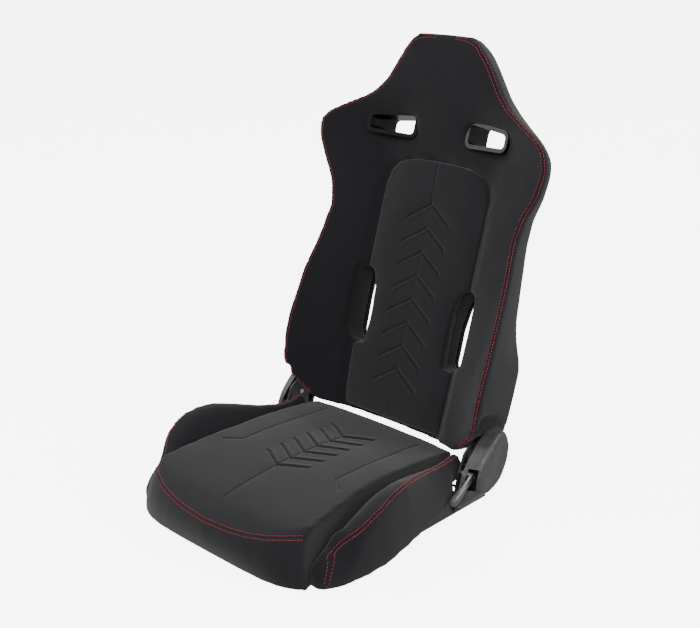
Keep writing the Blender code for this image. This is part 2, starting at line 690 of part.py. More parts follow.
def lever_grip():
    """The flat paddle moulded round the lever's front end."""
    centre = [(0.0585, 0.0712), (0.050, 0.0665), (0.040, 0.0605), (0.029, 0.0540), (0.0215, 0.0500), (0.0175, 0.0485)]
    halves = [0.0062, 0.0072, 0.0084, 0.0092, 0.0078, 0.0040]
    widths = [0.0050, 0.0060, 0.0068, 0.0072, 0.0060, 0.0030]
    rings = []
    along = (Vector(centre[-1]) - Vector(centre[0])).normalized()
    across = Vector((-along.y, along.x))
    middle = LEVER_ARM_X + 0.002
    for (y, z), half, width in zip(centre, halves, widths):
        ring = []
        for i in range(12):
            angle = 2 * math.pi * i / 12
            a = half * math.copysign(abs(math.cos(angle)) ** 0.7, math.cos(angle))
            x = middle + width * math.copysign(abs(math.sin(angle)) ** 0.7, math.sin(angle))
            ring.append((x, y + across.x * a, z + across.y * a))
        rings.append(ring)
    grip = loft("lever_grip", rings)
    pocket = extrusion("grip_pocket", [(0.0625, 0.0600), (0.0625, 0.0860), (0.034, 0.0660), (0.034, 0.0500)],
                       LEVER_ARM_X - GAP, LEVER_ARM_X + 0.004 + GAP)
    cut(grip, as_cutter(pocket), lever_axis)
    pocket.matrix_parent_inverse = lever_axis.matrix_world.inverted()
    place_under(grip, "lever_grip", "lever_plastic", lever_axis)


def slave_lever():
    """The far side's short lever, turned by the sync cable."""
    arm = rounded([(0.0885, 0.0895), (0.0885, 0.0775), (0.0765, 0.0705), (0.0735, 0.0720), (0.0755, 0.0895)],
                  0.003, 2)
    lever_core(-1, "slave_lever", arm, SLAVE_ARM_X, "zinc_steel", slave_axis)


CABLE_ROUTE = [(0.2250, 0.078, 0.0520), (0.2130, 0.078, 0.0515), (0.2040, 0.080, 0.0450),
               (0.1970, 0.083, 0.0355), (0.1860, 0.086, 0.0300), (0.1600, 0.090, 0.0290), (0.0800, 0.092, 0.0290)]


def sync_cable():
    """The sheathed cable that passes the lever's pull to the far side's pawl."""
    route = CABLE_ROUTE + [(0.0, 0.092, 0.0290)] + [(-x, y, z) for x, y, z in reversed(CABLE_ROUTE)]
    adopt(tube("sync_cable", smooth_route(route, 4), CABLE_R), "sync_cable", "cable_sheath", base_axis)


def cable_ferrule(side):
    name = "cable_ferrule_" + side_name(side)
    inboard = PLATE_IN - GAP
    profile = [(0.0, 0.2415), (0.0036, 0.2415), (0.0044, 0.2405), (0.0044, inboard), (0.0062, inboard),
               (0.0062, 0.2300), (0.0040, 0.2270), (0.0032, 0.2250 + GAP), (0.0, 0.2250 + GAP)]
    place_turned(turned(name, profile, 14), name, side, CABLE_END, "zinc_steel")


# ---------------------------------------------------------------- backrest frame
def back_point(x, s, d):
    """Backrest coordinates (x, up, forward) as the backrest empty's own (x, y, z)."""
    return (x, -d, s)


def sector_arm(side):
    """The backrest's recliner arm: ratchet teeth round the hub and a strap up the frame."""
    edge = []
    first, last = PAWL_ANGLE - FOLD - math.radians(10), PAWL_ANGLE + RECLINE + math.radians(10)
    count = round((last - first) / TOOTH_PITCH)
    for i in range(count):
        angle = first + TILT + i * TOOTH_PITCH
        edge.append(circle((0.0, 0.0), SECTOR_R - TOOTH, 1, angle)[0])
        edge.append(circle((0.0, 0.0), SECTOR_R, 1, angle + 0.5 * TOOTH_PITCH)[0])
    edge += [(0.030, 0.002), (0.052, 0.030), (0.074, 0.062), (0.0735, 0.184), (0.070, 0.190), (0.0520, 0.190),
             (0.0490, 0.184), (0.0490, 0.0945), (0.0440, 0.0860), (0.012, 0.042)]
    edge += circle((0.0, 0.0), 0.022, 6, math.radians(112), first + TILT + 2 * math.pi - math.radians(6))
    holes = [circle((0.0, 0.0), HUB_R + RUNNING, 20)]
    holes += [circle((-FRAME_D, s), BOLT_HOLE_R, 14) for s in ARM_BOLT_SS]
    name = "sector_arm_" + side_name(side)
    plate = flat_plate(name, [edge] + holes, *span(side, SECTOR_IN, SECTOR_IN + PLATE))
    adopt(plate, name, "black_steel", back_axis)


def arm_bolt(side, index, s):
    name = f"arm_bolt_{side_name(side)}_{index}"
    side_pin(name, side, (-FRAME_D, s), BOLT_R, LEG_X - 0.003, SECTOR_OUT + GAP, 0.0080, parent=back_axis)


LEG = [(LEG_X, 0.030), (LEG_X, 0.172), (0.2170, 0.210), (0.1960, 0.262), (0.1885, 0.310), (0.1850, 0.370),
       (LEG_TOP_X, 0.420), (LEG_TOP_X, 0.500)]


def frame_leg(side):
    name = "back_frame_leg_" + side_name(side)
    points = smooth_route([back_point(side * x, s, FRAME_D) for x, s in LEG], 2)
    leg = solid_from_curve(tube(name, points, TUBE_R, 3))
    for i, s in enumerate(ARM_BOLT_SS):
        hole = cylinder_cutter(f"{name}_hole_{i}", BOLT_HOLE_R, back_point(side * (LEG_X - 0.004), s, FRAME_D),
                               back_point(side * 0.25, s, FRAME_D))
        cut(leg, hole, back_axis)
    adopt(leg, name, "black_steel", back_axis)


def frame_top():
    """The hoop's top: it turns in from both legs and crosses below the harness slots."""
    half = [(LEG_TOP_X, 0.500 + 2 * GAP), (0.1820, 0.520), (0.1740, 0.539), (0.1570, TOP_TUBE_S)]
    points = half + [(0.0, TOP_TUBE_S)] + [(-x, s) for x, s in reversed(half)]
    route = [back_point(x, s, FRAME_D) for x, s in points]
    adopt(tube("back_frame_top", route, TUBE_R, 3), "back_frame_top", "black_steel", back_axis)


def cross_bar(name, s, half, radius=0.008):
    route = [back_point(x, s, FRAME_D) for x in (-half, half)]
    adopt(tube(name, route, radius, 2), name, "black_steel", back_axis)


def loop_route(low):
    """The headrest loop's line, both of its legs starting at height low."""
    half = [(0.036, low, -0.060 + 0.27 * (low - 0.563)), (0.036, 0.602, -0.0495), (0.036, 0.660, -0.022),
            (0.036, 0.715, -0.004), (0.030, 0.732, 0.002), (0.016, 0.740, 0.004)]
    points = half + [(-x, s, d) for x, s, d in reversed(half)]
    return [back_point(*point) for point in points]


def head_loop():
    """The narrow loop that carries the headrest, standing on the hoop between the slots."""
    loop = tube("head_frame_loop", loop_route(TOP_TUBE_S + TUBE_R + GAP), LOOP_R, 2)
    adopt(loop, "head_frame_loop", "black_steel", back_axis)


def back_spring(index, s, half):
    start, end = back_point(-half, s, FRAME_D), back_point(half, s, FRAME_D)
    name = f"back_spring_{index}"
    adopt(tube(name, zigzag(start, end, (0.0, 0.0, 0.013), 0.036), WIRE_R), name, "spring_steel", back_axis)


# ---------------------------------------------------------------- backrest foam
# The front edge seam of the backrest: s, half width, depth of the crest.
EDGE = [
    (0.000, 0.160, 0.004), (0.014, 0.182, 0.012), (0.036, 0.238, 0.036), (0.065, 0.254, 0.054),
    (0.120, 0.258, 0.060), (0.170, 0.259, 0.058), (0.268, 0.254, 0.046), (0.340, 0.244, 0.031),
    (0.417, 0.235, 0.022), (0.466, 0.245, 0.026), (0.510, 0.270, 0.032), (0.555, 0.286, 0.048),
    (0.590, 0.281, 0.058), (0.612, 0.256, 0.056), (0.635, 0.212, 0.044), (0.660, 0.168, 0.034),
    (0.690, 0.139, 0.034), (0.735, 0.109, 0.044), (0.765, 0.087, 0.056), (0.777, 0.074, 0.057),
    (0.785, 0.056, 0.058),
]
# Half width of the insert up to the top of its arch.
ARCH = [(0.486, INSERT_HALF), (0.516, 0.123), (0.533, 0.098), (0.541, 0.050), (0.543, 0.020)]
# Depth of the front surface on the centre line, and of the rear surface, up the backrest.
ARCH_TOP = [(x, s) for s, x in reversed(ARCH)]
# Half width of the rear panel above the recliner arms.
PANEL_SIDES = [(0.215, 0.2320), (0.262, 0.2085), (0.310, 0.2005), (0.370, 0.1965), (0.417, 0.1940),
               (0.466, 0.1955), (0.5345, 0.1960)]
CENTRE = [(0.000, -0.030), (0.040, -0.020), (0.100, -0.016), (0.500, -0.016), (0.560, -0.010),
          (0.610, 0.004), (0.660, 0.024), (0.700, 0.036), (0.740, 0.046), (0.785, 0.054)]
REAR = [(0.000, -0.084), (0.450, -0.084), (0.575, -0.081), (0.620, -0.060), (0.700, -0.036),
        (0.760, -0.016), (0.785, -0.004)]


# How far the sides draw in between the seam and the rear, at each height.
TAPER = [(0.000, 0.011), (0.120, 0.012), (0.170, 0.014), (0.190, 0.016), (0.220, 0.025), (0.268, 0.037),
         (0.340, 0.034), (0.417, 0.032), (0.466, 0.040), (0.510, 0.051), (0.555, 0.061), (0.590, 0.060),
         (0.612, 0.051), (0.635, 0.034), (0.660, 0.020), (0.690, 0.016), (0.735, 0.012), (0.785, 0.004)]


def front_depth(x, s):
    """Depth of the backrest's front surface: flat in the middle, rising to the crest."""
    centre = between(CENTRE, s, 1)
    half = between(EDGE, s, 1)
    crest = between(EDGE, s, 2)
    flat = min(DISH, half * 0.45)
    if abs(x) <= flat:
        return centre
    share = min(1.0, (abs(x) - flat) / (half - flat))
    return centre + (crest - centre) * share ** 1.35


def side_wall(s, x_in):
    """The side from the seam to the rear at height s: a roll, a tapering wall, a round corner."""
    half = between(EDGE, s, 1)
    crest = between(EDGE, s, 2)
    rear = between(REAR, s, 1)
    taper = between(TAPER, s, 1)
    widest = half + SEAM_ROLL
    depth = crest - rear
    corner = min(REAR_CORNER, 0.35 * depth)
    wall = max(widest - taper, x_in + 0.012)
    middle = 0.5 * (widest + wall)
    return [(half, s, crest), (widest, s, crest - 0.007), (middle, s, crest - 0.5 * (depth - corner)),
            (wall, s, rear + corner), (max(wall - 0.3 * corner, x_in + 0.009), s, rear + 0.25 * corner),
            (max(wall - corner, x_in + 0.004), s, rear)]


def side_ring(side, s, x_in):
    """A section of a side pad at height s: front, seam, side and rear."""
    half = between(EDGE, s, 1)
    front = [(x_in + (half - x_in) * share, s) for share in (0.0, 0.35, 0.7)]
    ring = [(x, s, front_depth(x, s)) for x, s in front] + side_wall(s, x_in)
    ring.append((x_in, s, between(REAR, s, 1)))
    return [back_point(side * x, level, d) for x, level, d in ring]


def insert_half(s):
    """Half width of the front insert: narrowed beside the lumbar slots, arched at its top."""
    if LUMBAR[0] <= s <= LUMBAR[1]:
        return SLOT_INNER
    return between(ARCH, s, 1)


def bolster_inner(s):
    """Inner side of the backrest bolster: the insert's edge, stepped out at the slot."""
    if LUMBAR[0] < s < LUMBAR[1]:
        return SLOT_OUTER
    return insert_half(s) + SEAM_GAP


def frame_pocket(side, name):
    """The room behind the front foam that the frame, the arm and the rear panel take."""
    sides = [(half + 0.0015, s) for s, half in PANEL_SIDES]
    outline = [(0.07, -0.05), (POCKET_OUT, -0.05), (POCKET_OUT, 0.188)] + sides + [(sides[-1][0], 0.60), (0.07, 0.60)]
    return as_cutter(extrusion(name + "_frame_pocket", [(side * x, s) for x, s in outline],
                               -FOAM_BACK_D, -FOAM_BACK_D + 0.08, axis="Y"))


def arm_pocket(side, name):
    """The room that the recliner arm takes between the hub and the frame."""
    outline = [(0.0, 0.027), (0.010, 0.047), (0.040, 0.095), (0.100, 0.095), (0.100, -0.050), (0.0, -0.050)]
    return as_cutter(extrusion(name + "_arm_pocket", outline, *span(side, SECTOR_IN - 0.0006, POCKET_OUT + 0.0015)))


def hub_clearance(side, name, radius, start):
    """Clears the fixed plate, or the cover, that lies within a radius of the recline axis."""
    return cylinder_cutter(name, radius, (side * start, 0.0, 0.0), (side * 0.32, 0.0, 0.0), 32)


def back_bolster(side):
    """The side bolster from the hip to the shoulder, hollow behind for frame and arm."""
    name = "back_bolster_" + side_name(side)
    rings = [side_ring(side, s, bolster_inner(s)) for s in BOLSTER_SS]
    bolster = loft(name, rings)
    cut(bolster, hub_clearance(side, name + "_cover_room", COVER_REACH, POCKET_OUT - 0.0010), back_axis)
    cut(bolster, hub_clearance(side, name + "_plate_room", PLATE_REACH, PLATE_IN - 0.0011), back_axis)
    cut(bolster, arm_pocket(side, name), back_axis)
    cut(bolster, frame_pocket(side, name), back_axis)
    adopt(bolster, name, "knit_fabric", back_axis)


def shoulder_pad(side):
    """The shoulder wing beside the harness slot, with room behind for the hoop's corner."""
    name = "shoulder_pad_" + side_name(side)
    steps = (SHOULDER_S[0], 0.555, 0.575, 0.590, 0.602, 0.612, 0.622, SHOULDER_S[1])
    pad = loft(name, [side_ring(side, s, HARNESS_SIDES[1]) for s in steps])
    low, high = span(side, 0.170, PANEL_SIDES[-1][1] + 0.0015)
    corner = [(low, 0.530), (high, 0.530), (high, 0.566), (low, 0.566)]
    room = extrusion(name + "_hoop_room", corner, -FOAM_BACK_D, 0.0735, axis="Y")
    cut(pad, as_cutter(room), back_axis)
    adopt(pad, name, "knit_fabric", back_axis)


def insert_ring(s):
    half = insert_half(s)
    front = [(half * share, s, front_depth(half * share, s)) for share in (-1.0, -0.5, 0.0, 0.5, 1.0)]
    return [back_point(*point) for point in front + [(half, s, FOAM_BACK_D), (-half, s, FOAM_BACK_D)]]


def back_insert_pad():
    """The front middle pad, from the bottom edge to the arch below the shoulders."""
    low, high = LUMBAR
    steps = (0.004, 0.040, 0.100, low - 0.004, low, 0.220, high, high + 0.004, 0.400, 0.486, 0.503, 0.516,
             0.526, 0.533, 0.538, 0.541)
    pad = loft("back_insert_pad", [insert_ring(s) for s in steps])
    adopt(pad, "back_insert_pad", "insert_fabric", back_axis)


def upper_back_pad():
    """The pad under the harness slots, with the stem between them up to the headrest."""
    top = HARNESS_BAND[0] - SEAM_GAP
    rings = []
    for x in (-0.1765, -0.150, -0.121, -0.092, -0.050, 0.0, 0.050, 0.092, 0.121, 0.150, 0.1765):
        low = max(SHOULDER_S[0], between(ARCH_TOP, abs(x), 1) + SEAM_GAP)
        middle = (low + top) / 2
        section = [(low, FOAM_BACK_D)] + [(s, front_depth(x, s)) for s in (low, middle, top)] + [(top, FOAM_BACK_D)]
        rings.append([back_point(x, s, d) for s, d in section])
    pad = loft("upper_back_pad", rings)
    stem = []
    half = HARNESS_SIDES[0]
    for s, rear in ((top - 0.004, FOAM_BACK_D), (0.600, -0.0425), (HARNESS_BAND[1], -0.0270)):
        front = [(half * share, s, front_depth(half * share, s)) for share in (-1.0, 0.0, 1.0)]
        stem.append([back_point(*point) for point in front + [(half, s, rear), (-half, s, rear)]])
    join(pad, loft("upper_back_stem", stem), back_axis)
    adopt(pad, "upper_back_pad", "knit_fabric", back_axis)


def head_ring(s):
    half = between(EDGE, s, 1)
    front = [(half * share, s, front_depth(half * share, s)) for share in (-0.7, -0.4, 0.0, 0.4, 0.7)]
    right = side_wall(s, 0.0)
    left = [(-x, level, d) for x, level, d in reversed(right)]
    return [back_point(*point) for point in front + right + left]


def head_pad():
    """The headrest, bored from below for the loop that carries it."""
    steps = (HEAD_S, 0.647, 0.660, 0.675, 0.690, 0.712, 0.735, 0.752, 0.765, 0.777, 0.785)
    pad = loft("head_pad", [head_ring(s) for s in steps])
    bore = solid_from_curve(tube("head_bore", loop_route(0.600), HEAD_BORE_R, 2))
    cut(pad, as_cutter(bore), back_axis)
    adopt(pad, "head_pad", "knit_fabric", back_axis)


def rear_panel():
    """The stiff panel that closes the back of the frame, open behind the lumbar slots."""
    half = [(0.020, 0.200), (0.050, 0.245), (0.190, 0.245)] + PANEL_SIDES + [(0.5350, 0.1750), (0.574, 0.1750)]
    edge = [(x, s) for s, x in half] + [(-x, s) for s, x in reversed(half)]
    holes = []
    for side in (1, -1):
        low, high = span(side, SLOT_INNER, SLOT_OUTER)
        corners = [(low, LUMBAR[0]), (high, LUMBAR[0]), (high, LUMBAR[1]), (low, LUMBAR[1])]
        holes.append(rounded(corners, 0.010, 3))
    panel = flat_plate("back_rear_panel", [edge] + holes, -PANEL_D[1], -PANEL_D[0], axis="Y")
    adopt(panel, "back_rear_panel", "knit_fabric", back_axis)


def slot_outline(side, offset):
    """The harness slot's outline grown by offset: straight below, falling outwards on top."""
    corners = [(0.070 - offset, 0.587 - offset), (0.171 + offset, 0.587 - offset),
               (0.171 + offset, 0.614 + offset), (0.070 - offset, 0.626 + offset)]
    points = rounded(corners, 0.010 + offset, 5)
    return [(side * x, s) for x, s in points]


def flange_depth(x):
    """Depth of the slot's front flange, which follows the foam outwards."""
    share = (abs(x) - 0.070) / (0.171 - 0.070)
    return 0.0045 + 0.0215 * share


def ring_solid(name, loops):
    """A closed ring through loops of equally many points, the last joined to the first."""
    bm = bmesh.new()
    verts = [[bm.verts.new(back_point(*point)) for point in loop] for loop in loops]
    count = len(loops[0])
    for lower, upper in zip(verts, verts[1:] + verts[:1]):
        for i in range(count):
            j = (i + 1) % count
            bm.faces.new((lower[i], lower[j], upper[j], upper[i]))
    bmesh.ops.triangulate(bm, faces=bm.faces)
    return mesh_object(name, bm, 35.0)


def harness_bezel(side, part):
    """Half of a moulded sleeve through the back: the front half or the rear half."""
    name = f"harness_bezel_{part}_{side_name(side)}"
    slot = slot_outline(side, 0.0)
    sleeve = slot_outline(side, BEZEL_WALL)
    flange = slot_outline(side, BEZEL_FLANGE)
    if part == "front":
        outer = [(x, s, flange_depth(x)) for x, s in flange]
        under = [(x, s, d - BEZEL_LIP) for x, s, d in outer]
        loops = [[(x, s, BEZEL_SPLIT) for x, s in slot], [(x, s, flange_depth(x)) for x, s in slot], outer, under,
                 [(x, s, flange_depth(x) - BEZEL_LIP) for x, s in sleeve], [(x, s, BEZEL_SPLIT) for x, s in sleeve]]
    else:
        split, back, lip = BEZEL_SPLIT - GAP, BEZEL_REAR, BEZEL_REAR + BEZEL_LIP
        loops = [[(x, s, split) for x, s in slot], [(x, s, back) for x, s in slot],
                 [(x, s, back) for x, s in flange], [(x, s, lip) for x, s in flange],
                 [(x, s, lip) for x, s in sleeve], [(x, s, split) for x, s in sleeve]]
    adopt(ring_solid(name, loops), name, "gloss_plastic", back_axis)


# ---------------------------------------------------------------- the seat
for SIDE in (1, -1):
    base_rail(SIDE)
    base_plate(SIDE)
    hub_pin(SIDE)
    pawl_pin(SIDE)
    recline_spring(SIDE)
    recliner_cover(SIDE)
    cushion_bolster(SIDE)
    trim_stud(SIDE)
    cable_ferrule(SIDE)
    pawl(SIDE)
    sector_arm(SIDE)
    frame_leg(SIDE)
    back_bolster(SIDE)
    shoulder_pad(SIDE)
    for INDEX, Y in enumerate(PLATE_BOLT_YS):
        plate_bolt(SIDE, INDEX, Y)
    for INDEX, S in enumerate(ARM_BOLT_SS):
        arm_bolt(SIDE, INDEX, S)
    for PART in ("front", "rear"):
        harness_bezel(SIDE, PART)

cross_tube("front_cross_tube", CROSS_TUBE_YS[0])
cross_tube("rear_cross_tube", CROSS_TUBE_YS[1])
for INDEX, X in enumerate(CUSHION_SPRING_XS):
    cushion_spring(INDEX, X)
cushion_pad()
release_lever()
lever_grip()
slave_lever()
sync_cable()
frame_top()
cross_bar("back_lower_bar", LOWER_BAR_S, LEG_X - TUBE_R - GAP)
head_loop()
for INDEX, (S, HALF) in enumerate(BACK_SPRINGS):
    back_spring(INDEX, S, HALF)
back_insert_pad()
upper_back_pad()
head_pad()
rear_panel()
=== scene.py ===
"""A reclining racing seat: fabric, stitching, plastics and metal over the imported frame."""
import json
import math

import bmesh
import bpy
import numpy as np
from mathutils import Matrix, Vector
from mathutils.bvhtree import BVHTree


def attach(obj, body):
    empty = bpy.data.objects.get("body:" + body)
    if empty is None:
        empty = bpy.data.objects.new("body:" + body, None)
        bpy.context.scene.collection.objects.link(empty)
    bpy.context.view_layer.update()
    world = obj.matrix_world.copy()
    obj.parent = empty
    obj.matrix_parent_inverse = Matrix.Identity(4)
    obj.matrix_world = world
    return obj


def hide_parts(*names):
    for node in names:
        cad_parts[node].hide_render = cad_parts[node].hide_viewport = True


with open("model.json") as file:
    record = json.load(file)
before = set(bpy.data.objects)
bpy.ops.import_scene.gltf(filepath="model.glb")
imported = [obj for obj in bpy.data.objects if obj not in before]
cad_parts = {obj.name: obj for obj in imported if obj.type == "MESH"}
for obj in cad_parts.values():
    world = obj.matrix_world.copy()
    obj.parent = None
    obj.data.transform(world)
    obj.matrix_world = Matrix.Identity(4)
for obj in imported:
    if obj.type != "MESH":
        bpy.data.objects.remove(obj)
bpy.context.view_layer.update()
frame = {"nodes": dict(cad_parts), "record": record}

# ---------------------------------------------------------------- driving dimensions (metres)
AXIS_Y, AXIS_Z = 0.115, 0.106           # recline axis
TILT = math.radians(17.0)               # backrest behind the vertical at rest

# Backrest: s runs up the back from the axis and d points forward.
# Front seam: s, half width, depth.
EDGE = np.array([
    (-0.006, 0.176, 0.002), (0.010, 0.210, 0.014), (0.034, 0.242, 0.035), (0.065, 0.256, 0.052),
    (0.120, 0.258, 0.060), (0.170, 0.259, 0.058), (0.268, 0.254, 0.046), (0.340, 0.244, 0.031),
    (0.417, 0.235, 0.022), (0.466, 0.245, 0.026), (0.510, 0.269, 0.034), (0.555, 0.284, 0.048),
    (0.590, 0.279, 0.058), (0.612, 0.256, 0.056), (0.635, 0.212, 0.046), (0.660, 0.168, 0.036),
    (0.690, 0.139, 0.035), (0.735, 0.110, 0.044), (0.762, 0.088, 0.053), (0.777, 0.075, 0.056),
    (0.787, 0.054, 0.057)])
# Middle of the front, and the rear face: s, depth.
CENTRE = np.array([(0.000, -0.030), (0.040, -0.021), (0.100, -0.0185), (0.500, -0.0185), (0.545, -0.012),
                   (0.575, -0.003), (0.610, 0.006), (0.660, 0.024), (0.700, 0.036), (0.740, 0.046),
                   (0.788, 0.052)])
REAR = np.array([(0.000, -0.078), (0.030, -0.083), (0.450, -0.083), (0.575, -0.080), (0.620, -0.060),
                 (0.700, -0.036), (0.760, -0.016), (0.785, 0.002)])
BACK_FOOT, BACK_TOP = -0.004, 0.787
DISH = 0.118                            # half width of the flat middle
# How much narrower the shell is at its rear than at its seam: s, amount.
TAPER = np.array([(0.000, 0.014), (0.180, 0.017), (0.220, 0.028), (0.268, 0.037), (0.340, 0.034),
                  (0.417, 0.032), (0.466, 0.040), (0.510, 0.051), (0.555, 0.061), (0.590, 0.060),
                  (0.612, 0.051), (0.635, 0.034), (0.660, 0.020), (0.690, 0.016), (0.735, 0.012),
                  (0.785, 0.004)])
# Radius of the shell's rear corners: s, radius.
REAR_CORNER = np.array([(0.000, 0.006), (0.190, 0.006), (0.240, 0.020), (0.790, 0.020)])
SEAM_ROLL, SEAM_DROP = 0.008, 0.007     # how far the side swells out beyond its seam, and over what depth

# Rear panel: s, half width; the room round it, and its seat, front face and thickness.
PANEL = np.array([(0.018, 0.199), (0.048, 0.2435), (0.190, 0.2435), (0.215, 0.2305), (0.262, 0.2070),
                  (0.310, 0.1990), (0.370, 0.1950), (0.417, 0.1925), (0.466, 0.1940), (0.534, 0.1945),
                  (0.546, 0.174), (0.573, 0.174)])
PANEL_ROOM = 0.003
PANEL_SEAT_D = -0.0748
PANEL_FRONT_D, PANEL_THICK = -0.0757, 0.0062

# Middle insert of the backrest, and its sewn lines.
INSERT = np.array([(0.000, 0.130), (0.138, 0.1335), (0.143, 0.106), (0.200, 0.103), (0.262, 0.105),
                   (0.298, 0.117), (0.304, 0.1335), (0.440, 0.1335), (0.486, 0.132), (0.505, 0.127),
                   (0.518, 0.120), (0.530, 0.106), (0.538, 0.085), (0.5425, 0.055), (0.5435, 0.020)])
INSERT_FOOT, INSERT_TOP = 0.004, 0.5435
VALLEY_DEPTH, VALLEY_WIDTH = 0.0085, 0.0110
BACK_CHEVRONS = 8
BACK_CHEVRON_TOP, BACK_CHEVRON_FOOT = 0.457, 0.113
BACK_CHEVRON_HALF, BACK_CHEVRON_DROP = 0.053, 0.035

# Lumbar slots and harness slots: corners in x and s on the left side.
LUMBAR_CORNERS = ((0.102, 0.144), (0.140, 0.140), (0.156, 0.158), (0.158, 0.230), (0.156, 0.300),
                  (0.128, 0.304), (0.108, 0.270), (0.101, 0.220))
SLOT_CORNERS = ((0.070, 0.587), (0.171, 0.587), (0.171, 0.614), (0.070, 0.626))
SLOT_ROOM, SLOT_REAR_ROOM, SLOT_REAR_D = 0.0032, 0.0085, -0.0570

# Room round the recline hardware: radius, first |x|, first and last angle in degrees.
DRUMS = ((0.0430, 0.2325, -180.0, 172.5), (0.0700, 0.2465, -180.0, 172.5), (0.0895, 0.2465, -110.0, 98.0))
DRUM_END_X = 0.34
CUT_LOW, CUT_HIGH = -0.14, 0.12         # depths that a through cut runs between

# Cushion's middle pad: top height along y, half width along y, and the seam round its nose as
# share of the half width, y, z.
CUSHION_TOP = np.array([(-0.345, 0.082), (-0.330, 0.094), (-0.310, 0.1005), (-0.280, 0.106),
                        (-0.240, 0.1105), (-0.160, 0.117), (-0.060, 0.116), (0.040, 0.108),
                        (0.095, 0.1005), (0.118, 0.0960)])
CUSHION_HALF = np.array([(-0.330, 0.2045), (-0.291, 0.2040), (-0.262, 0.2015), (-0.228, 0.197),
                         (-0.191, 0.193), (-0.154, 0.189), (-0.116, 0.1865), (0.130, 0.1860)])
NOSE = np.array([(0.0, -0.363, 0.073), (0.3, -0.359, 0.0745), (0.5, -0.3535, 0.078), (0.7, -0.343, 0.084),
                 (0.85, -0.330, 0.0905), (0.95, -0.317, 0.093), (1.0, -0.306, 0.0925)])
# The bolster's seam: x, y, z.
CUSHION_SEAM = np.array([
    (0.236, -0.298, 0.008), (0.2375, -0.288, 0.036), (0.239, -0.274, 0.067), (0.244, -0.262, 0.078),
    (0.252, -0.251, 0.088), (0.262, -0.240, 0.099), (0.269, -0.227, 0.110), (0.273, -0.211, 0.121),
    (0.276, -0.193, 0.130), (0.274, -0.172, 0.138), (0.270, -0.147, 0.143), (0.263, -0.115, 0.143),
    (0.246, -0.069, 0.132), (0.227, -0.017, 0.117), (0.217, 0.027, 0.108), (0.214, 0.061, 0.106),
    (0.215, 0.090, 0.112)])
# Cushion bolster: y, inner x, inner foot z, outer x, foot z.
BOLSTER = np.array([
    (-0.315, 0.2140, 0.012, 0.2380, 0.007), (-0.304, 0.2090, 0.006, 0.2460, 0.004),
    (-0.290, 0.2060, 0.005, 0.2540, 0.003), (-0.272, 0.2055, 0.010, 0.2620, 0.003),
    (-0.250, 0.2050, 0.040, 0.2690, 0.005), (-0.215, 0.2020, 0.042, 0.2770, 0.009),
    (-0.172, 0.1970, 0.042, 0.2810, 0.014), (-0.120, 0.1935, 0.042, 0.2770, 0.021),
    (-0.065, 0.1910, 0.042, 0.2700, 0.028), (-0.015, 0.1900, 0.042, 0.2610, 0.033),
    (0.036, 0.1900, 0.046, 0.2500, 0.038), (0.0515, 0.1900, 0.052, 0.2465, 0.043),
    (0.056, 0.1900, 0.066, 0.2345, 0.064), (0.096, 0.1900, 0.068, 0.2330, 0.068)])
# Its crest in front of the seam: y, x, z.
BOLSTER_CREST = np.array([
    (-0.315, 0.229, 0.034), (-0.303, 0.232, 0.050), (-0.290, 0.236, 0.056), (-0.280, 0.238, 0.062)])
BOLSTER_TIP_Y, BOLSTER_SEAM_Y, BOLSTER_STEP_Y = -0.315, -0.274, 0.053
BOLSTER_SEAM_Z = 0.067
FOAM_BOTTOM = 0.042
CUSHION_REAR_Y, CUSHION_REAR_CROWN = 0.117, 0.008
# Front skirt: its foot, the rounding over the nose (back, rise), its inside and the pad's rear end.
SKIRT_FOOT_Y, SKIRT_FOOT_Z, SKIRT_FOOT_HALF = -0.358, 0.003, 0.225
NOSE_ROUND = ((0.012, 0.0075), (0.006, 0.0045), (0.002, 0.001))
SKIRT_BACK = ((0.005, 0.002, 0.225), (0.016, 0.003, 0.223), (0.028, 0.020, 0.212), (0.034, 0.042, 0.200))
CUSHION_END = ((0.097, 0.055, 0.186), (0.107, 0.071, 0.186), (0.1145, 0.086, 0.186))
CUSHION_CHEVRONS = 6
CUSHION_CHEVRON_FRONT, CUSHION_CHEVRON_PITCH = -0.181, 0.036
CUSHION_CHEVRON_HALF, CUSHION_CHEVRON_BACK = 0.055, 0.030
SIDE_MARK = ((0.158, -0.176), (0.127, -0.151), (0.127, 0.080))

STITCH_LENGTH, STITCH_PITCH, STITCH_R = 0.0042, 0.0056, 0.00065
STITCH_OFFSET = 0.0040
SEAM_GROOVE = (0.0016, 0.0022)          # depth and width of the channel along a seam
SWELL_SPREAD = 10                       # rounds of evening out after a simulation

# Camera: what it looks at, the direction and distance back from there, and its lens in millimetres.
CAMERA_TARGET = (0.0, 0.021, 0.365)
CAMERA_DIRECTION, CAMERA_DISTANCE = (0.6453, -0.6876, 0.3328), 2.277
CAMERA_LENS, CAMERA_SENSOR = 60.5, 36.0

# Lights: name, place, what each points at, diameter, watts.
LIGHTS = (("key", (1.2, -2.2, 2.6), (0.0, 0.0, 0.4), 1.6, 110.0),
          ("rim", (2.6, 0.9, 1.7), (0.1, 0.1, 0.5), 1.2, 70.0),
          ("fill", (-2.4, -1.2, 1.8), (0.0, 0.0, 0.4), 1.8, 40.0))
WORLD_STRENGTH = 0.6

# Studio paper: its glow, and its radius and height as it sweeps up from floor to wall.
PAPER_GLOW = 6.0
PAPER_SWEEP = ((6.0, 0.0), (16.0, 0.0), (19.0, 0.6), (21.0, 2.4), (22.0, 6.0), (22.0, 24.0))


# ---------------------------------------------------------------- small helpers
def back_xyz(x, s, d):
    """Backrest coordinates as world x, y, z; the arguments may be arrays."""
    y = AXIS_Y + s * math.sin(TILT) - d * math.cos(TILT)
    z = AXIS_Z + s * math.cos(TILT) + d * math.sin(TILT)
    return np.stack(np.broadcast_arrays(x, y, z), axis=-1)


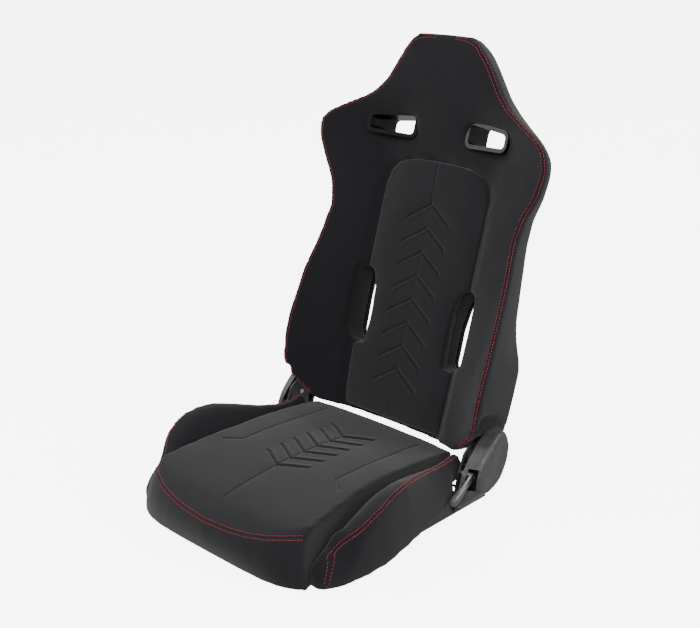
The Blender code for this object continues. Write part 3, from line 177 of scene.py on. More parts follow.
def back_coords(points):
    """World points as backrest x, s, d."""
    y, z = points[:, 1] - AXIS_Y, points[:, 2] - AXIS_Z
    s = y * math.sin(TILT) + z * math.cos(TILT)
    d = -y * math.cos(TILT) + z * math.sin(TILT)
    return points[:, 0], s, d


def table(rows, key, column=1):
    """A table's value at a key, straight between its rows."""
    return np.interp(key, rows[:, 0], rows[:, column])


def smooth_table(rows, key, column=1, reach=0.010):
    """A table's value, averaged over a short reach so that its corners are round."""
    key = np.asarray(key, dtype=float)
    shares = np.linspace(-1.0, 1.0, 9)
    weights = 1.0 - 0.8 * np.abs(shares)
    total = sum(w * table(rows, key + reach * t, column) for t, w in zip(shares, weights))
    return total / weights.sum()


def mesh_from(name, verts, faces, smooth=True):
    mesh = bpy.data.meshes.new(name)
    mesh.from_pydata([tuple(v) for v in verts], [], [tuple(f) for f in faces])
    mesh.validate()
    mesh.update()
    obj = bpy.data.objects.new(name, mesh)
    bpy.context.scene.collection.objects.link(obj)
    if smooth:
        mesh.shade_smooth()
    return obj


def loft(name, rings):
    """A closed solid through rings of equally many points, its ends closed by fans."""
    rings = [np.asarray(ring) for ring in rings]
    count = len(rings[0])
    verts = np.concatenate(rings + [rings[0].mean(axis=0)[None], rings[-1].mean(axis=0)[None]])
    faces = []
    for k in range(len(rings) - 1):
        a, b = k * count, (k + 1) * count
        for i in range(count):
            j = (i + 1) % count
            faces.append((a + i, a + j, b + j, b + i))
    first, last = len(rings) * count, len(rings) * count + 1
    top = (len(rings) - 1) * count
    for i in range(count):
        j = (i + 1) % count
        faces.append((first, j, i))
        faces.append((last, top + i, top + j))
    obj = mesh_from(name, verts, faces)
    bm = bmesh.new()
    bm.from_mesh(obj.data)
    bmesh.ops.recalc_face_normals(bm, faces=bm.faces)
    bm.to_mesh(obj.data)
    bm.free()
    return obj


def apply_modifiers(obj):
    """Replaces the object's mesh with its evaluated one."""
    bpy.context.view_layer.update()
    evaluated = obj.evaluated_get(bpy.context.evaluated_depsgraph_get())
    mesh = bpy.data.meshes.new_from_object(evaluated)
    obj.modifiers.clear()
    old = obj.data
    obj.data = mesh
    bpy.data.meshes.remove(old)
    obj.data.shade_smooth()


def cut_away(obj, *cutters):
    """Subtracts each cutter and removes it."""
    for cutter in cutters:
        boolean = obj.modifiers.new("cut", "BOOLEAN")
        boolean.operation = "DIFFERENCE"
        boolean.solver = "EXACT"
        boolean.object = cutter
        apply_modifiers(obj)
        bpy.data.objects.remove(cutter)


def vertex_array(obj):
    coords = np.empty(len(obj.data.vertices) * 3)
    obj.data.vertices.foreach_get("co", coords)
    return coords.reshape(-1, 3)


def normal_array(obj):
    normals = np.empty(len(obj.data.vertices) * 3)
    obj.data.vertices.foreach_get("normal", normals)
    return normals.reshape(-1, 3)


def set_vertices(obj, coords):
    obj.data.vertices.foreach_set("co", np.ascontiguousarray(coords).ravel())
    obj.data.update()


def segment_distance(points, start, end):
    """Distance of each point from one straight segment."""
    start, end = np.asarray(start, dtype=float), np.asarray(end, dtype=float)
    along = end - start
    share = np.clip(((points - start) @ along) / (along @ along), 0.0, 1.0)
    return np.linalg.norm(points - (start + share[:, None] * along), axis=1)


def line_distance(points, line):
    """Distance of each point from a polyline."""
    distance = np.full(len(points), 1.0)
    for start, end in zip(line[:-1], line[1:]):
        distance = np.minimum(distance, segment_distance(points, start, end))
    return distance


def lines_distance(points, lines):
    return np.min([line_distance(points, line) for line in lines], axis=0)


def groove(obj, distance, depth, width):
    """Presses a sewn channel into a mesh where distance is small."""
    coords = vertex_array(obj)
    press = depth * np.exp(-(distance / width) ** 2)
    set_vertices(obj, coords - normal_array(obj) * press[:, None])


def relax(obj, steps=6, factor=0.5):
    smooth = obj.modifiers.new("relax", "SMOOTH")
    smooth.factor = factor
    smooth.iterations = steps
    apply_modifiers(obj)


def remesh(obj, voxel):
    voxels = obj.modifiers.new("voxels", "REMESH")
    voxels.mode = "VOXEL"
    voxels.voxel_size = voxel
    apply_modifiers(obj)


def subdivide(obj, levels=1):
    finer = obj.modifiers.new("finer", "SUBSURF")
    finer.levels = levels
    finer.render_levels = levels
    apply_modifiers(obj)


def neighbour_mean(obj, values):
    """Each vertex's value averaged over its neighbours."""
    edges = np.empty(len(obj.data.edges) * 2, dtype=int)
    obj.data.edges.foreach_get("vertices", edges)
    first, second = edges.reshape(-1, 2).T
    total = np.bincount(first, values[second], len(values))
    total = total + np.bincount(second, values[first], len(values))
    count = np.bincount(first, minlength=len(values)) + np.bincount(second, minlength=len(values))
    return total / np.maximum(count, 1)


def stuff(obj, held, pressure=4.0, cap=0.006, frames=16):
    """Swells a soft piece with a cloth simulation. held is 1 where sewing or a board holds it."""
    start, normals = vertex_array(obj), normal_array(obj)
    group = obj.vertex_groups.new(name="held")
    for index in np.nonzero(held > 0.02)[0]:
        group.add([int(index)], float(min(1.0, held[index])), "REPLACE")
    cloth = obj.modifiers.new("cloth", "CLOTH")
    settings = cloth.settings
    settings.quality = 4
    settings.mass = 0.3
    settings.tension_stiffness = 25.0
    settings.compression_stiffness = 25.0
    settings.shear_stiffness = 10.0
    settings.bending_stiffness = 4.0
    settings.use_pressure = True
    settings.uniform_pressure_force = pressure
    settings.effector_weights.gravity = 0.0
    settings.vertex_group_mass = "held"
    cloth.point_cache.frame_start = 1
    cloth.point_cache.frame_end = frames
    scene = bpy.context.scene
    for step in range(1, frames + 1):
        scene.frame_set(step)
    apply_modifiers(obj)
    scene.frame_set(1)
    # Foam under the cloth spreads its swelling, so only the outward part is kept, and evenly.
    swell = np.einsum("ij,ij->i", vertex_array(obj) - start, normals)
    swell = np.clip(swell, -0.25 * cap, cap)
    for _ in range(SWELL_SPREAD):
        swell = neighbour_mean(obj, swell) * (1.0 - np.minimum(held, 1.0))
    set_vertices(obj, start + normals * swell[:, None])
    obj.vertex_groups.clear()


def smooth_line(points, count):
    """A smooth curve through points, as count points evenly spaced along it."""
    points = np.asarray(points, dtype=float)
    ends = [2 * points[0] - points[1], 2 * points[-1] - points[-2]]
    knots = np.concatenate([ends[:1], points, ends[1:]])
    fine = []
    for a, b, c, d in zip(knots, knots[1:], knots[2:], knots[3:]):
        for t in np.linspace(0.0, 1.0, 12, endpoint=False):
            fine.append(0.5 * (2 * b + (c - a) * t + (2 * a - 5 * b + 4 * c - d) * t ** 2
                               + (3 * b - a - 3 * c + d) * t ** 3))
    fine = np.array(fine + [points[-1]])
    lengths = np.concatenate([[0.0], np.cumsum(np.linalg.norm(np.diff(fine, axis=0), axis=1))])
    places = np.linspace(0.0, lengths[-1], count)
    return np.stack([np.interp(places, lengths, fine[:, k]) for k in range(3)], axis=1)


def stitches(name, line, target, offset, body, material):
    """A row of thread dashes beside a seam, laid on the target's surface."""
    tree = BVHTree.FromObject(target, bpy.context.evaluated_depsgraph_get())
    length = np.linalg.norm(np.diff(np.asarray(line), axis=0), axis=1).sum()
    path = smooth_line(line, max(8, int(length / STITCH_PITCH)))
    sides = 6
    spots = ((-0.5, 0.25, -0.55), (-0.36, 0.85, 0.2), (0.0, 1.0, 0.45), (0.36, 0.85, 0.2), (0.5, 0.25, -0.55))
    verts, faces = [], []
    for i in range(1, len(path) - 1):
        tangent = Vector(path[i + 1] - path[i - 1]).normalized()
        place, normal, _, _ = tree.find_nearest(Vector(path[i]))
        if place is None:
            continue
        lateral = normal.cross(tangent).normalized()
        place, normal, _, _ = tree.find_nearest(Vector(path[i]) + lateral * offset)
        lateral = normal.cross(tangent).normalized()
        tangent = lateral.cross(normal).normalized()
        base = len(verts)
        for share, swell, lift in spots:
            centre = place + tangent * (share * STITCH_LENGTH) + normal * (lift * STITCH_R)
            for k in range(sides):
                angle = 2 * math.pi * k / sides
                spoke = lateral * math.cos(angle) + normal * math.sin(angle)
                verts.append(centre + spoke * swell * STITCH_R)
        for ring in range(len(spots) - 1):
            for k in range(sides):
                a, b = base + ring * sides + k, base + ring * sides + (k + 1) % sides
                faces.append((a, b, b + sides, a + sides))
        faces.append([base + k for k in reversed(range(sides))])
        faces.append([base + (len(spots) - 1) * sides + k for k in range(sides)])
    obj = mesh_from(name, verts, faces)
    finish_piece(obj, material, body)
    return obj


def finish_piece(obj, material, body):
    obj.data.materials.clear()
    obj.data.materials.append(material)
    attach(obj, body)
    return obj


# ---------------------------------------------------------------- materials
def new_material(name):
    """An empty node material with its shader and a coordinate in metres."""
    material = bpy.data.materials.new(name)
    material.use_nodes = True
    nodes = material.node_tree.nodes
    shader = nodes["Principled BSDF"]
    coords = nodes.new("ShaderNodeTexCoord")
    return material, nodes, material.node_tree.links, shader, coords.outputs["Object"]


def noise(nodes, links, coords, scale, detail=3.0):
    node = nodes.new("ShaderNodeTexNoise")
    node.inputs["Scale"].default_value = scale
    node.inputs["Detail"].default_value = detail
    links.new(coords, node.inputs["Vector"])
    return node.outputs["Fac"]


def tinted(nodes, links, factor, dark, light, low=0.35, high=0.65):
    """Two colours mixed by a factor."""
    ramp = nodes.new("ShaderNodeValToRGB")
    ramp.color_ramp.elements[0].position = low
    ramp.color_ramp.elements[1].position = high
    ramp.color_ramp.elements[0].color = (*dark, 1.0)
    ramp.color_ramp.elements[1].color = (*light, 1.0)
    links.new(factor, ramp.inputs["Fac"])
    return ramp.outputs["Color"]


def ranged(nodes, links, factor, low, high):
    node = nodes.new("ShaderNodeMapRange")
    node.inputs["To Min"].default_value = low
    node.inputs["To Max"].default_value = high
    links.new(factor, node.inputs["Value"])
    return node.outputs["Result"]


def bump(nodes, links, height, distance, strength=1.0, below=None):
    node = nodes.new("ShaderNodeBump")
    node.inputs["Distance"].default_value = distance
    node.inputs["Strength"].default_value = strength
    links.new(height, node.inputs["Height"])
    if below is not None:
        links.new(below, node.inputs["Normal"])
    return node.outputs["Normal"]


def knit(name, dark, light, sheen=0.25):
    """Fine warp-knit fabric over foam: rows of small loops, faint creases and a soft sheen."""
    material, nodes, links, shader, coords = new_material(name)
    loops = nodes.new("ShaderNodeTexVoronoi")
    loops.inputs["Scale"].default_value = 620.0
    links.new(coords, loops.inputs["Vector"])
    wales = nodes.new("ShaderNodeTexWave")
    wales.wave_type = "BANDS"
    wales.bands_direction = "X"
    wales.inputs["Scale"].default_value = 150.0
    wales.inputs["Distortion"].default_value = 1.2
    links.new(coords, wales.inputs["Vector"])
    cloud = noise(nodes, links, coords, 14.0, 5.0)
    fibre = noise(nodes, links, coords, 900.0, 2.0)
    colour = nodes.new("ShaderNodeMix")
    colour.data_type = "RGBA"
    colour.inputs["Factor"].default_value = 0.5
    links.new(tinted(nodes, links, cloud, dark, light), colour.inputs["A"])
    links.new(tinted(nodes, links, fibre, dark, light, 0.30, 0.75), colour.inputs["B"])
    links.new(colour.outputs["Result"], shader.inputs["Base Color"])
    links.new(ranged(nodes, links, cloud, 0.80, 0.96), shader.inputs["Roughness"])
    shader.inputs["Sheen Weight"].default_value = sheen
    shader.inputs["Sheen Roughness"].default_value = 0.55
    shader.inputs["Specular IOR Level"].default_value = 0.16
    under = bump(nodes, links, loops.outputs["Distance"], 0.0004, 0.6)
    middle = bump(nodes, links, wales.outputs["Fac"], 0.0002, 0.5, under)
    links.new(bump(nodes, links, cloud, 0.0010, 0.5, middle), shader.inputs["Normal"])
    return material


def moulded(name, dark, light, rough, grain=0.00012, specular=0.5):
    """Moulded plastic with a fine grain and uneven gloss."""
    material, nodes, links, shader, coords = new_material(name)
    fine = noise(nodes, links, coords, 1400.0, 2.0)
    broad = noise(nodes, links, coords, 45.0, 4.0)
    links.new(tinted(nodes, links, broad, dark, light), shader.inputs["Base Color"])
    links.new(ranged(nodes, links, broad, rough - 0.05, rough + 0.08), shader.inputs["Roughness"])
    shader.inputs["Specular IOR Level"].default_value = specular
    links.new(bump(nodes, links, fine, grain, 0.8), shader.inputs["Normal"])
    return material


def metal(name, dark, light, rough, metallic, brushed=True):
    """Plated or painted steel with drawing marks and dull patches."""
    material, nodes, links, shader, coords = new_material(name)
    stretch = nodes.new("ShaderNodeMapping")
    stretch.inputs["Scale"].default_value = (40.0, 900.0, 900.0) if brushed else (300.0, 300.0, 300.0)
    links.new(coords, stretch.inputs["Vector"])
    marks = noise(nodes, links, stretch.outputs["Vector"], 1.0, 3.0)
    broad = noise(nodes, links, coords, 60.0, 4.0)
    links.new(tinted(nodes, links, broad, dark, light), shader.inputs["Base Color"])
    links.new(ranged(nodes, links, marks, rough - 0.08, rough + 0.12), shader.inputs["Roughness"])
    shader.inputs["Metallic"].default_value = metallic
    links.new(bump(nodes, links, marks, 0.00006, 0.6), shader.inputs["Normal"])
    return material


def thread(name, dark, light):
    """Twisted polyester thread."""
    material, nodes, links, shader, coords = new_material(name)
    twist = nodes.new("ShaderNodeTexWave")
    twist.bands_direction = "DIAGONAL"
    twist.inputs["Scale"].default_value = 900.0
    links.new(coords, twist.inputs["Vector"])
    links.new(tinted(nodes, links, twist.outputs["Fac"], dark, light, 0.1, 0.9), shader.inputs["Base Color"])
    links.new(ranged(nodes, links, twist.outputs["Fac"], 0.50, 0.70), shader.inputs["Roughness"])
    links.new(bump(nodes, links, twist.outputs["Fac"], 0.0002, 0.7), shader.inputs["Normal"])
    return material


MATERIALS = {
    "black_steel": metal("powder_coated_steel", (0.012, 0.012, 0.013), (0.022, 0.022, 0.023), 0.42, 0.0,
                         brushed=False),
    "zinc_steel": metal("zinc_plated_steel", (0.42, 0.42, 0.41), (0.60, 0.60, 0.60), 0.34, 1.0),
    "spring_steel": metal("oiled_spring_steel", (0.14, 0.14, 0.15), (0.26, 0.26, 0.28), 0.36, 1.0),
    "knit_fabric": knit("side_knit", (0.0040, 0.0040, 0.0054), (0.0070, 0.0070, 0.0088), 0.10),
    "insert_fabric": knit("insert_knit", (0.0052, 0.0052, 0.0066), (0.0085, 0.0085, 0.0102), 0.14),
    "grey_plastic": moulded("cover_plastic", (0.030, 0.029, 0.028), (0.046, 0.045, 0.043), 0.42),
    "lever_plastic": moulded("lever_plastic", (0.055, 0.055, 0.056), (0.080, 0.080, 0.081), 0.38),
    "gloss_plastic": moulded("bezel_plastic", (0.0025, 0.0025, 0.0027), (0.0045, 0.0045, 0.0048), 0.30,
                             grain=0.00003, specular=0.22),
    "cable_sheath": moulded("cable_sheath_plastic", (0.010, 0.010, 0.010), (0.018, 0.018, 0.018), 0.55),
}
THREAD = thread("red_thread", (0.16, 0.006, 0.014), (0.42, 0.020, 0.040))


# ---------------------------------------------------------------- backrest surfaces
def front_depth(x, s):
    """The backrest's front: a dished middle that rises to the crest at the seam."""
    half = smooth_table(EDGE, s, 1)
    crest = smooth_table(EDGE, s, 2)
    centre = smooth_table(CENTRE, s, 1)
    flat = np.minimum(DISH, half * 0.45)
    share = np.clip((np.abs(x) - flat) / (half - flat), 0.0, 1.0)
    beside = np.hypot(np.maximum(0.0, np.abs(x) - table(INSERT, s)), np.maximum(0.0, s - INSERT_TOP))
    valley = VALLEY_DEPTH * np.exp(-(beside / VALLEY_WIDTH) ** 2)
    return centre + (crest - centre) * share ** 1.45 - valley


def back_ring(s):
    """One closed section of the backrest's cover at height s."""
    half = float(smooth_table(EDGE, s, 1))
    crest = float(smooth_table(EDGE, s, 2))
    rear = float(smooth_table(REAR, s, 1))
    x_front = half * np.sin(np.linspace(-1.0, 1.0, 45) * math.pi / 2 * 0.985)
    front = np.stack([x_front, np.full(45, s), front_depth(x_front, np.full(45, s))], axis=1)
    front[0, 0], front[-1, 0] = -half, half
    depth = crest - rear
    round_r = min(float(table(REAR_CORNER, s)), 0.35 * depth, 0.4 * half)
    taper = float(smooth_table(TAPER, s, 1))
    widest = half + SEAM_ROLL
    roll = [(half + SEAM_ROLL * math.sin(a), crest - SEAM_DROP * (1 - math.cos(a))) for a in (0.45, 0.9, 1.3)]
    wall = [(widest - taper * t ** 1.2, crest - SEAM_DROP - t * (depth - SEAM_DROP - round_r))
            for t in np.linspace(0.06, 1.0, 9)]
    down = roll + wall
    corner_x = wall[-1][0]
    corner = [(corner_x - round_r * (1 - math.cos(a)), rear + round_r - round_r * math.sin(a))
              for a in np.linspace(0.25, math.pi / 2, 5)]
    inner = corner[-1][0]
    flat_x = np.linspace(inner * 0.97, -inner * 0.97, 41)
    panel = float(table(PANEL, s)) + PANEL_ROOM if PANEL[0, 0] <= s <= PANEL[-1, 0] else -1.0
    recess = np.clip((panel - np.abs(flat_x)) / 0.003, 0.0, 1.0)
    flat = [(x, rear + (PANEL_SEAT_D - rear) * r) for x, r in zip(flat_x, recess)]
    right = down + corner
    left = [(-x, d) for x, d in reversed(right)]
    rest = np.array([(x, s, d) for x, d in right + flat + left])
    ring = np.concatenate([front, rest])
    return back_xyz(ring[:, 0], ring[:, 1], ring[:, 2])


def prism(name, outline, low, high):
    """A cutter: an (x, s) outline between two backrest depths."""
    rings = []
    for d in (low, high):
        rings.append([back_xyz(x, s, d) for x, s in outline])
    return loft(name, rings)


def round_outline(corners, radius, steps=5):
    """An outline with its corners rounded."""
    outline = []
    corners = [np.asarray(corner, dtype=float) for corner in corners]
    for i, corner in enumerate(corners):
        before, after = corners[i - 1], corners[(i + 1) % len(corners)]
        start = corner + (before - corner) / np.linalg.norm(before - corner) * radius
        end = corner + (after - corner) / np.linalg.norm(after - corner) * radius
        for t in np.linspace(0.0, 1.0, steps):
            outline.append(start * (1 - t) ** 2 + corner * 2 * t * (1 - t) + end * t ** 2)
    return [tuple(point) for point in outline]


def slot_outline(side, grow):
    """A harness slot's outline, grown all round."""
    grown = [(x + (grow if x > 0.1 else -grow), s + (grow if s > 0.6 else -grow)) for x, s in SLOT_CORNERS]
    return [(side * x, s) for x, s in round_outline(grown, 0.010 + grow)]


def lumbar_outline(side):
    """A lumbar slot's outline."""
    return [(side * x, s) for x, s in round_outline(LUMBAR_CORNERS, 0.008, 3)]


def axis_drum(side, radius, start, low, high):
    """A cutter round the recline axis that keeps the cover clear of the fixed recliner."""
    rings = []
    for x in (side * start, side * DRUM_END_X):
        angles = np.radians(np.linspace(low, high, 48))
        rings.append([(x, AXIS_Y + radius * math.cos(a), AXIS_Z + radius * math.sin(a)) for a in angles])
    return loft("drum", rings)


def seam_line(side):
    """The backrest's front seam on one side, from the foot to the middle of the head."""
    s = np.concatenate([np.linspace(0.006, 0.770, 60), [0.780, 0.784]])
    half = smooth_table(EDGE, s, 1)
    crest = smooth_table(EDGE, s, 2)
    half[-2:] = (0.055, 0.020)
    return back_xyz(side * half, s, crest)


def back_cover():
    """The fabric over the backrest's bolsters, shoulders and head."""
    levels = np.concatenate([np.linspace(BACK_FOOT, 0.060, 14), np.linspace(0.068, 0.740, 78),
                             np.linspace(0.746, BACK_TOP, 12)])
    obj = loft("back_cover", [back_ring(float(s)) for s in levels])
    for side in (1, -1):
        cut_away(obj, prism("slot", slot_outline(side, SLOT_ROOM), CUT_LOW, CUT_HIGH))
        cut_away(obj, prism("rear_slot", slot_outline(side, SLOT_REAR_ROOM), CUT_LOW, SLOT_REAR_D))
        cut_away(obj, prism("lumbar", lumbar_outline(side), CUT_LOW, CUT_HIGH))
        cut_away(obj, *[axis_drum(side, *drum) for drum in DRUMS])
    remesh(obj, 0.0052)
    relax(obj, 5)
    coords = vertex_array(obj)
    x, s, d = back_coords(coords)
    seams = [seam_line(side) for side in (1, -1)]
    seam = lines_distance(coords, seams)
    held = np.exp(-(seam / 0.007) ** 2)
    insert_edge = np.abs(np.abs(x) - table(INSERT, s)) + np.maximum(0.0, s - INSERT_TOP)
    held = np.maximum(held, np.exp(-(insert_edge / 0.012) ** 2) * (d > -0.03))
    held = np.maximum(held, ((np.abs(x) < table(INSERT, s)) & (s < INSERT_TOP) & (d > -0.05)) * 1.0)
    held = np.maximum(held, (d < -0.070) * 1.0)
    near_slot = np.minimum(np.abs(np.abs(x) - 0.1205) - 0.062, 1.0)
    around = (near_slot < 0.0) & (s > 0.572) & (s < 0.640)
    held = np.maximum(held, around * 0.9)
    drum = np.hypot(coords[:, 1] - AXIS_Y, coords[:, 2] - AXIS_Z)
    held = np.maximum(held, (drum < 0.096) * 1.0 * (d < 0.03))
    stuff(obj, held, 4.0, 0.0055)
    relax(obj, 2)
    subdivide(obj)
    coords = vertex_array(obj)
    groove(obj, lines_distance(coords, seams), *SEAM_GROOVE)
    finish_piece(obj, MATERIALS["knit_fabric"], "back")
    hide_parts("back_bolster_left", "back_bolster_right", "shoulder_pad_left", "shoulder_pad_right",
                "upper_back_pad", "head_pad")
    return obj


def rear_panel():
    """The fabric-covered board that closes the back, with a corded edge."""
    heights = np.concatenate([np.linspace(PANEL[0, 0], 0.190, 24), np.linspace(0.197, 0.530, 44),
                              np.linspace(0.534, PANEL[-1, 0], 10)])
    rings = []
    for s in heights:
        half = float(smooth_table(PANEL, s, 1, 0.004))
        x = half * np.sin(np.linspace(-1.0, 1.0, 33) * math.pi / 2)
        edge = np.minimum(1.0, (half - np.abs(x)) / 0.010)
        ends = min(1.0, (s - PANEL[0, 0]) / 0.010, (PANEL[-1, 0] - s) / 0.010)
        lift = PANEL_THICK * (0.45 + 0.55 * np.sqrt(np.clip(edge, 0.0, 1.0) * max(ends, 0.0)))
        rear = [(a, s, PANEL_FRONT_D - b) for a, b in zip(x, lift)]
        front = [(a, s, PANEL_FRONT_D) for a in x[::-1]]
        ring = np.array(rear + front)
        rings.append(back_xyz(ring[:, 0], ring[:, 1], ring[:, 2]))
    obj = loft("rear_panel_cover", rings)
    for side in (1, -1):
        cut_away(obj, prism("lumbar", lumbar_outline(side), CUT_LOW, 0.02))
    outline = [(float(smooth_table(PANEL, s, 1, 0.004)) - 0.001, s) for s in heights]
    outline = outline + [(-x, s) for x, s in reversed(outline)]
    cord_x, cord_s = np.array(outline).T
    cord = back_xyz(cord_x, cord_s, PANEL_FRONT_D - 0.0028)
    finish_piece(obj, MATERIALS["knit_fabric"], "back")
    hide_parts("back_rear_panel")
    tube("rear_panel_cord", cord, 0.0016, "knit_fabric")
    return obj


def tube(name, points, radius, slot):
    """A closed round cord through points."""
    curve = bpy.data.curves.new(name, "CURVE")
    curve.dimensions = "3D"
    curve.bevel_depth = radius
    curve.bevel_resolution = 3
    spline = curve.splines.new("POLY")
    spline.points.add(len(points) - 1)
    for place, point in zip(spline.points, points):
        place.co = (*point, 1.0)
    spline.use_cyclic_u = True
    obj = bpy.data.objects.new(name, curve)
    bpy.context.scene.collection.objects.link(obj)
    finish_piece(obj, MATERIALS[slot], "back")
    return obj


# ---------------------------------------------------------------- backrest insert
def insert_ring(s):
    """One closed section of the backrest's middle insert at height s."""
    half = float(table(INSERT, s))
    x = half * np.sin(np.linspace(-1.0, 1.0, 25) * math.pi / 2)
    crown = 0.0040 * (1 - (np.abs(x) / max(half, 0.02)) ** 6)
    front = np.stack([x, np.full(25, s), table(CENTRE, s) + crown], axis=1)
    back = float(table(CENTRE, s)) - 0.022
    side_d = np.linspace(float(table(CENTRE, s)) - 0.004, back, 4)
    right = [(half, s, d) for d in side_d]
    left = [(-half, s, d) for d in side_d[::-1]]
    ring = np.concatenate([front, right, left])
    return back_xyz(ring[:, 0], ring[:, 1], ring[:, 2])


def chevron_lines():
    """The backrest's sewn chevrons in (x, s)."""
    lines = []
    for i in range(BACK_CHEVRONS):
        apex = BACK_CHEVRON_TOP + (BACK_CHEVRON_FOOT - BACK_CHEVRON_TOP) * i / (BACK_CHEVRONS - 1)
        lines.append([(-BACK_CHEVRON_HALF, apex - BACK_CHEVRON_DROP), (0.0, apex),
                      (BACK_CHEVRON_HALF, apex - BACK_CHEVRON_DROP)])
    return lines


def back_insert():
    """The quilted middle of the backrest."""
    levels = np.concatenate([np.linspace(INSERT_FOOT, 0.136, 34), np.linspace(0.139, 0.145, 4),
                             np.linspace(0.149, 0.294, 36), np.linspace(0.297, 0.305, 5),
                             np.linspace(0.309, 0.520, 50), np.linspace(0.524, INSERT_TOP, 12)])
    obj = loft("back_insert", [insert_ring(float(s)) for s in levels])
    remesh(obj, 0.0040)
    relax(obj, 4)
    coords = vertex_array(obj)
    x, s, d = back_coords(coords)
    flat = np.stack([x, s], axis=1)
    chevrons = lines_distance(flat, chevron_lines())
    held = np.maximum(np.exp(-(chevrons / 0.004) ** 2), (d < table(CENTRE, s) - 0.003) * 1.0)
    stuff(obj, held, 5.0, 0.0035)
    subdivide(obj)
    coords = vertex_array(obj)
    x, s, d = back_coords(coords)
    flat = np.stack([x, s], axis=1)
    front = d > table(CENTRE, s) - 0.004
    chevrons = lines_distance(flat, chevron_lines())
    groove(obj, np.where(front, chevrons, 1.0), 0.0030, 0.0024)
    below = signed_below(flat)
    swell = 0.0022 * np.exp(-(below / 0.0085) ** 2) * (below > 0.0025) * front * (chevrons > 0.0025)
    coords = vertex_array(obj) + normal_array(obj) * swell[:, None]
    set_vertices(obj, coords)
    centre = line_distance(flat, [(0.0, BACK_CHEVRON_TOP), (0.0, INSERT_TOP)])
    groove(obj, np.where(front, centre, 1.0), 0.0012, 0.0018)
    faint = line_distance(flat, [(0.0, 0.02), (0.0, BACK_CHEVRON_TOP)])
    groove(obj, np.where(front, faint, 1.0), 0.0004, 0.0020)
    finish_piece(obj, MATERIALS["insert_fabric"], "back")
    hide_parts("back_insert_pad")
    return obj


def signed_below(flat):
    """How far each point lies below the nearest chevron line above it, in metres."""
    below = np.full(len(flat), 1.0)
    inside = np.abs(flat[:, 0]) < BACK_CHEVRON_HALF
    slope = BACK_CHEVRON_DROP / BACK_CHEVRON_HALF
    for i in range(BACK_CHEVRONS):
        apex = BACK_CHEVRON_TOP + (BACK_CHEVRON_FOOT - BACK_CHEVRON_TOP) * i / (BACK_CHEVRONS - 1)
        drop = apex - slope * np.abs(flat[:, 0]) - flat[:, 1]
        below = np.where(inside & (drop > 0.0), np.minimum(below, drop), below)
    return below


# ---------------------------------------------------------------- cushion
def half_at(y):
    """The middle pad's half width at y."""
    return float(table(CUSHION_HALF, y))


def cushion_ring(u):
    """The middle pad's outline in y and z at a share u of its half width."""
    share = abs(u)
    nose_y, nose_z = float(table(NOSE, share, 1)), float(table(NOSE, share, 2))
    corner = share ** 6
    foot_y = SKIRT_FOOT_Y + 0.034 * corner
    lift = 0.0025 * share ** 2
    crown = CUSHION_REAR_CROWN * (1.0 - share ** 2) ** 1.3
    top_y = np.linspace(CUSHION_REAR_Y, nose_y + 0.018, 60)
    top_z = smooth_table(CUSHION_TOP, top_y, 1, 0.02) + lift + crown * np.maximum(0.0, top_y / CUSHION_REAR_Y)
    outline = [(y, z, half_at(y)) for y, z in zip(top_y, top_z)]
    outline += [(nose_y + back, nose_z + rise, half_at(nose_y)) for back, rise in NOSE_ROUND]
    for t in np.linspace(0.05, 1.0, 14):
        y = nose_y + (foot_y - nose_y) * t - 0.009 * math.sin(math.pi * min(1.0, t * 1.05)) ** 0.8
        flare = half_at(nose_y) + (SKIRT_FOOT_HALF - half_at(nose_y)) * t ** 1.3
        outline.append((y, nose_z + (SKIRT_FOOT_Z - nose_z) * t, flare))
    thick = 1.0 - 0.65 * corner
    outline += [(foot_y + back * thick, z, half) for back, z, half in SKIRT_BACK]
    outline += [(y, FOAM_BOTTOM, 0.192) for y in np.linspace(-0.29, 0.088, 24)]
    outline += list(CUSHION_END)
    return [(u * half, y, z) for y, z, half in outline]


def cushion_chevron_lines():
    """The cushion's sewn chevrons in (x, y), and its centre seam with the marks beside it."""
    lines = []
    for i in range(CUSHION_CHEVRONS):
        apex = CUSHION_CHEVRON_FRONT + i * CUSHION_CHEVRON_PITCH
        end = apex + CUSHION_CHEVRON_BACK
        lines.append([(-CUSHION_CHEVRON_HALF, end), (0.0, apex), (CUSHION_CHEVRON_HALF, end)])
    last = CUSHION_CHEVRON_FRONT + (CUSHION_CHEVRONS - 1) * CUSHION_CHEVRON_PITCH
    return lines, [[(0.0, -0.313), (0.0, last)]] + side_marks()


def side_marks():
    """The sewn line along each side of the chevrons, bent out at its front end."""
    marks = []
    for side in (1, -1):
        marks.append([(side * x, y) for x, y in SIDE_MARK])
    return marks


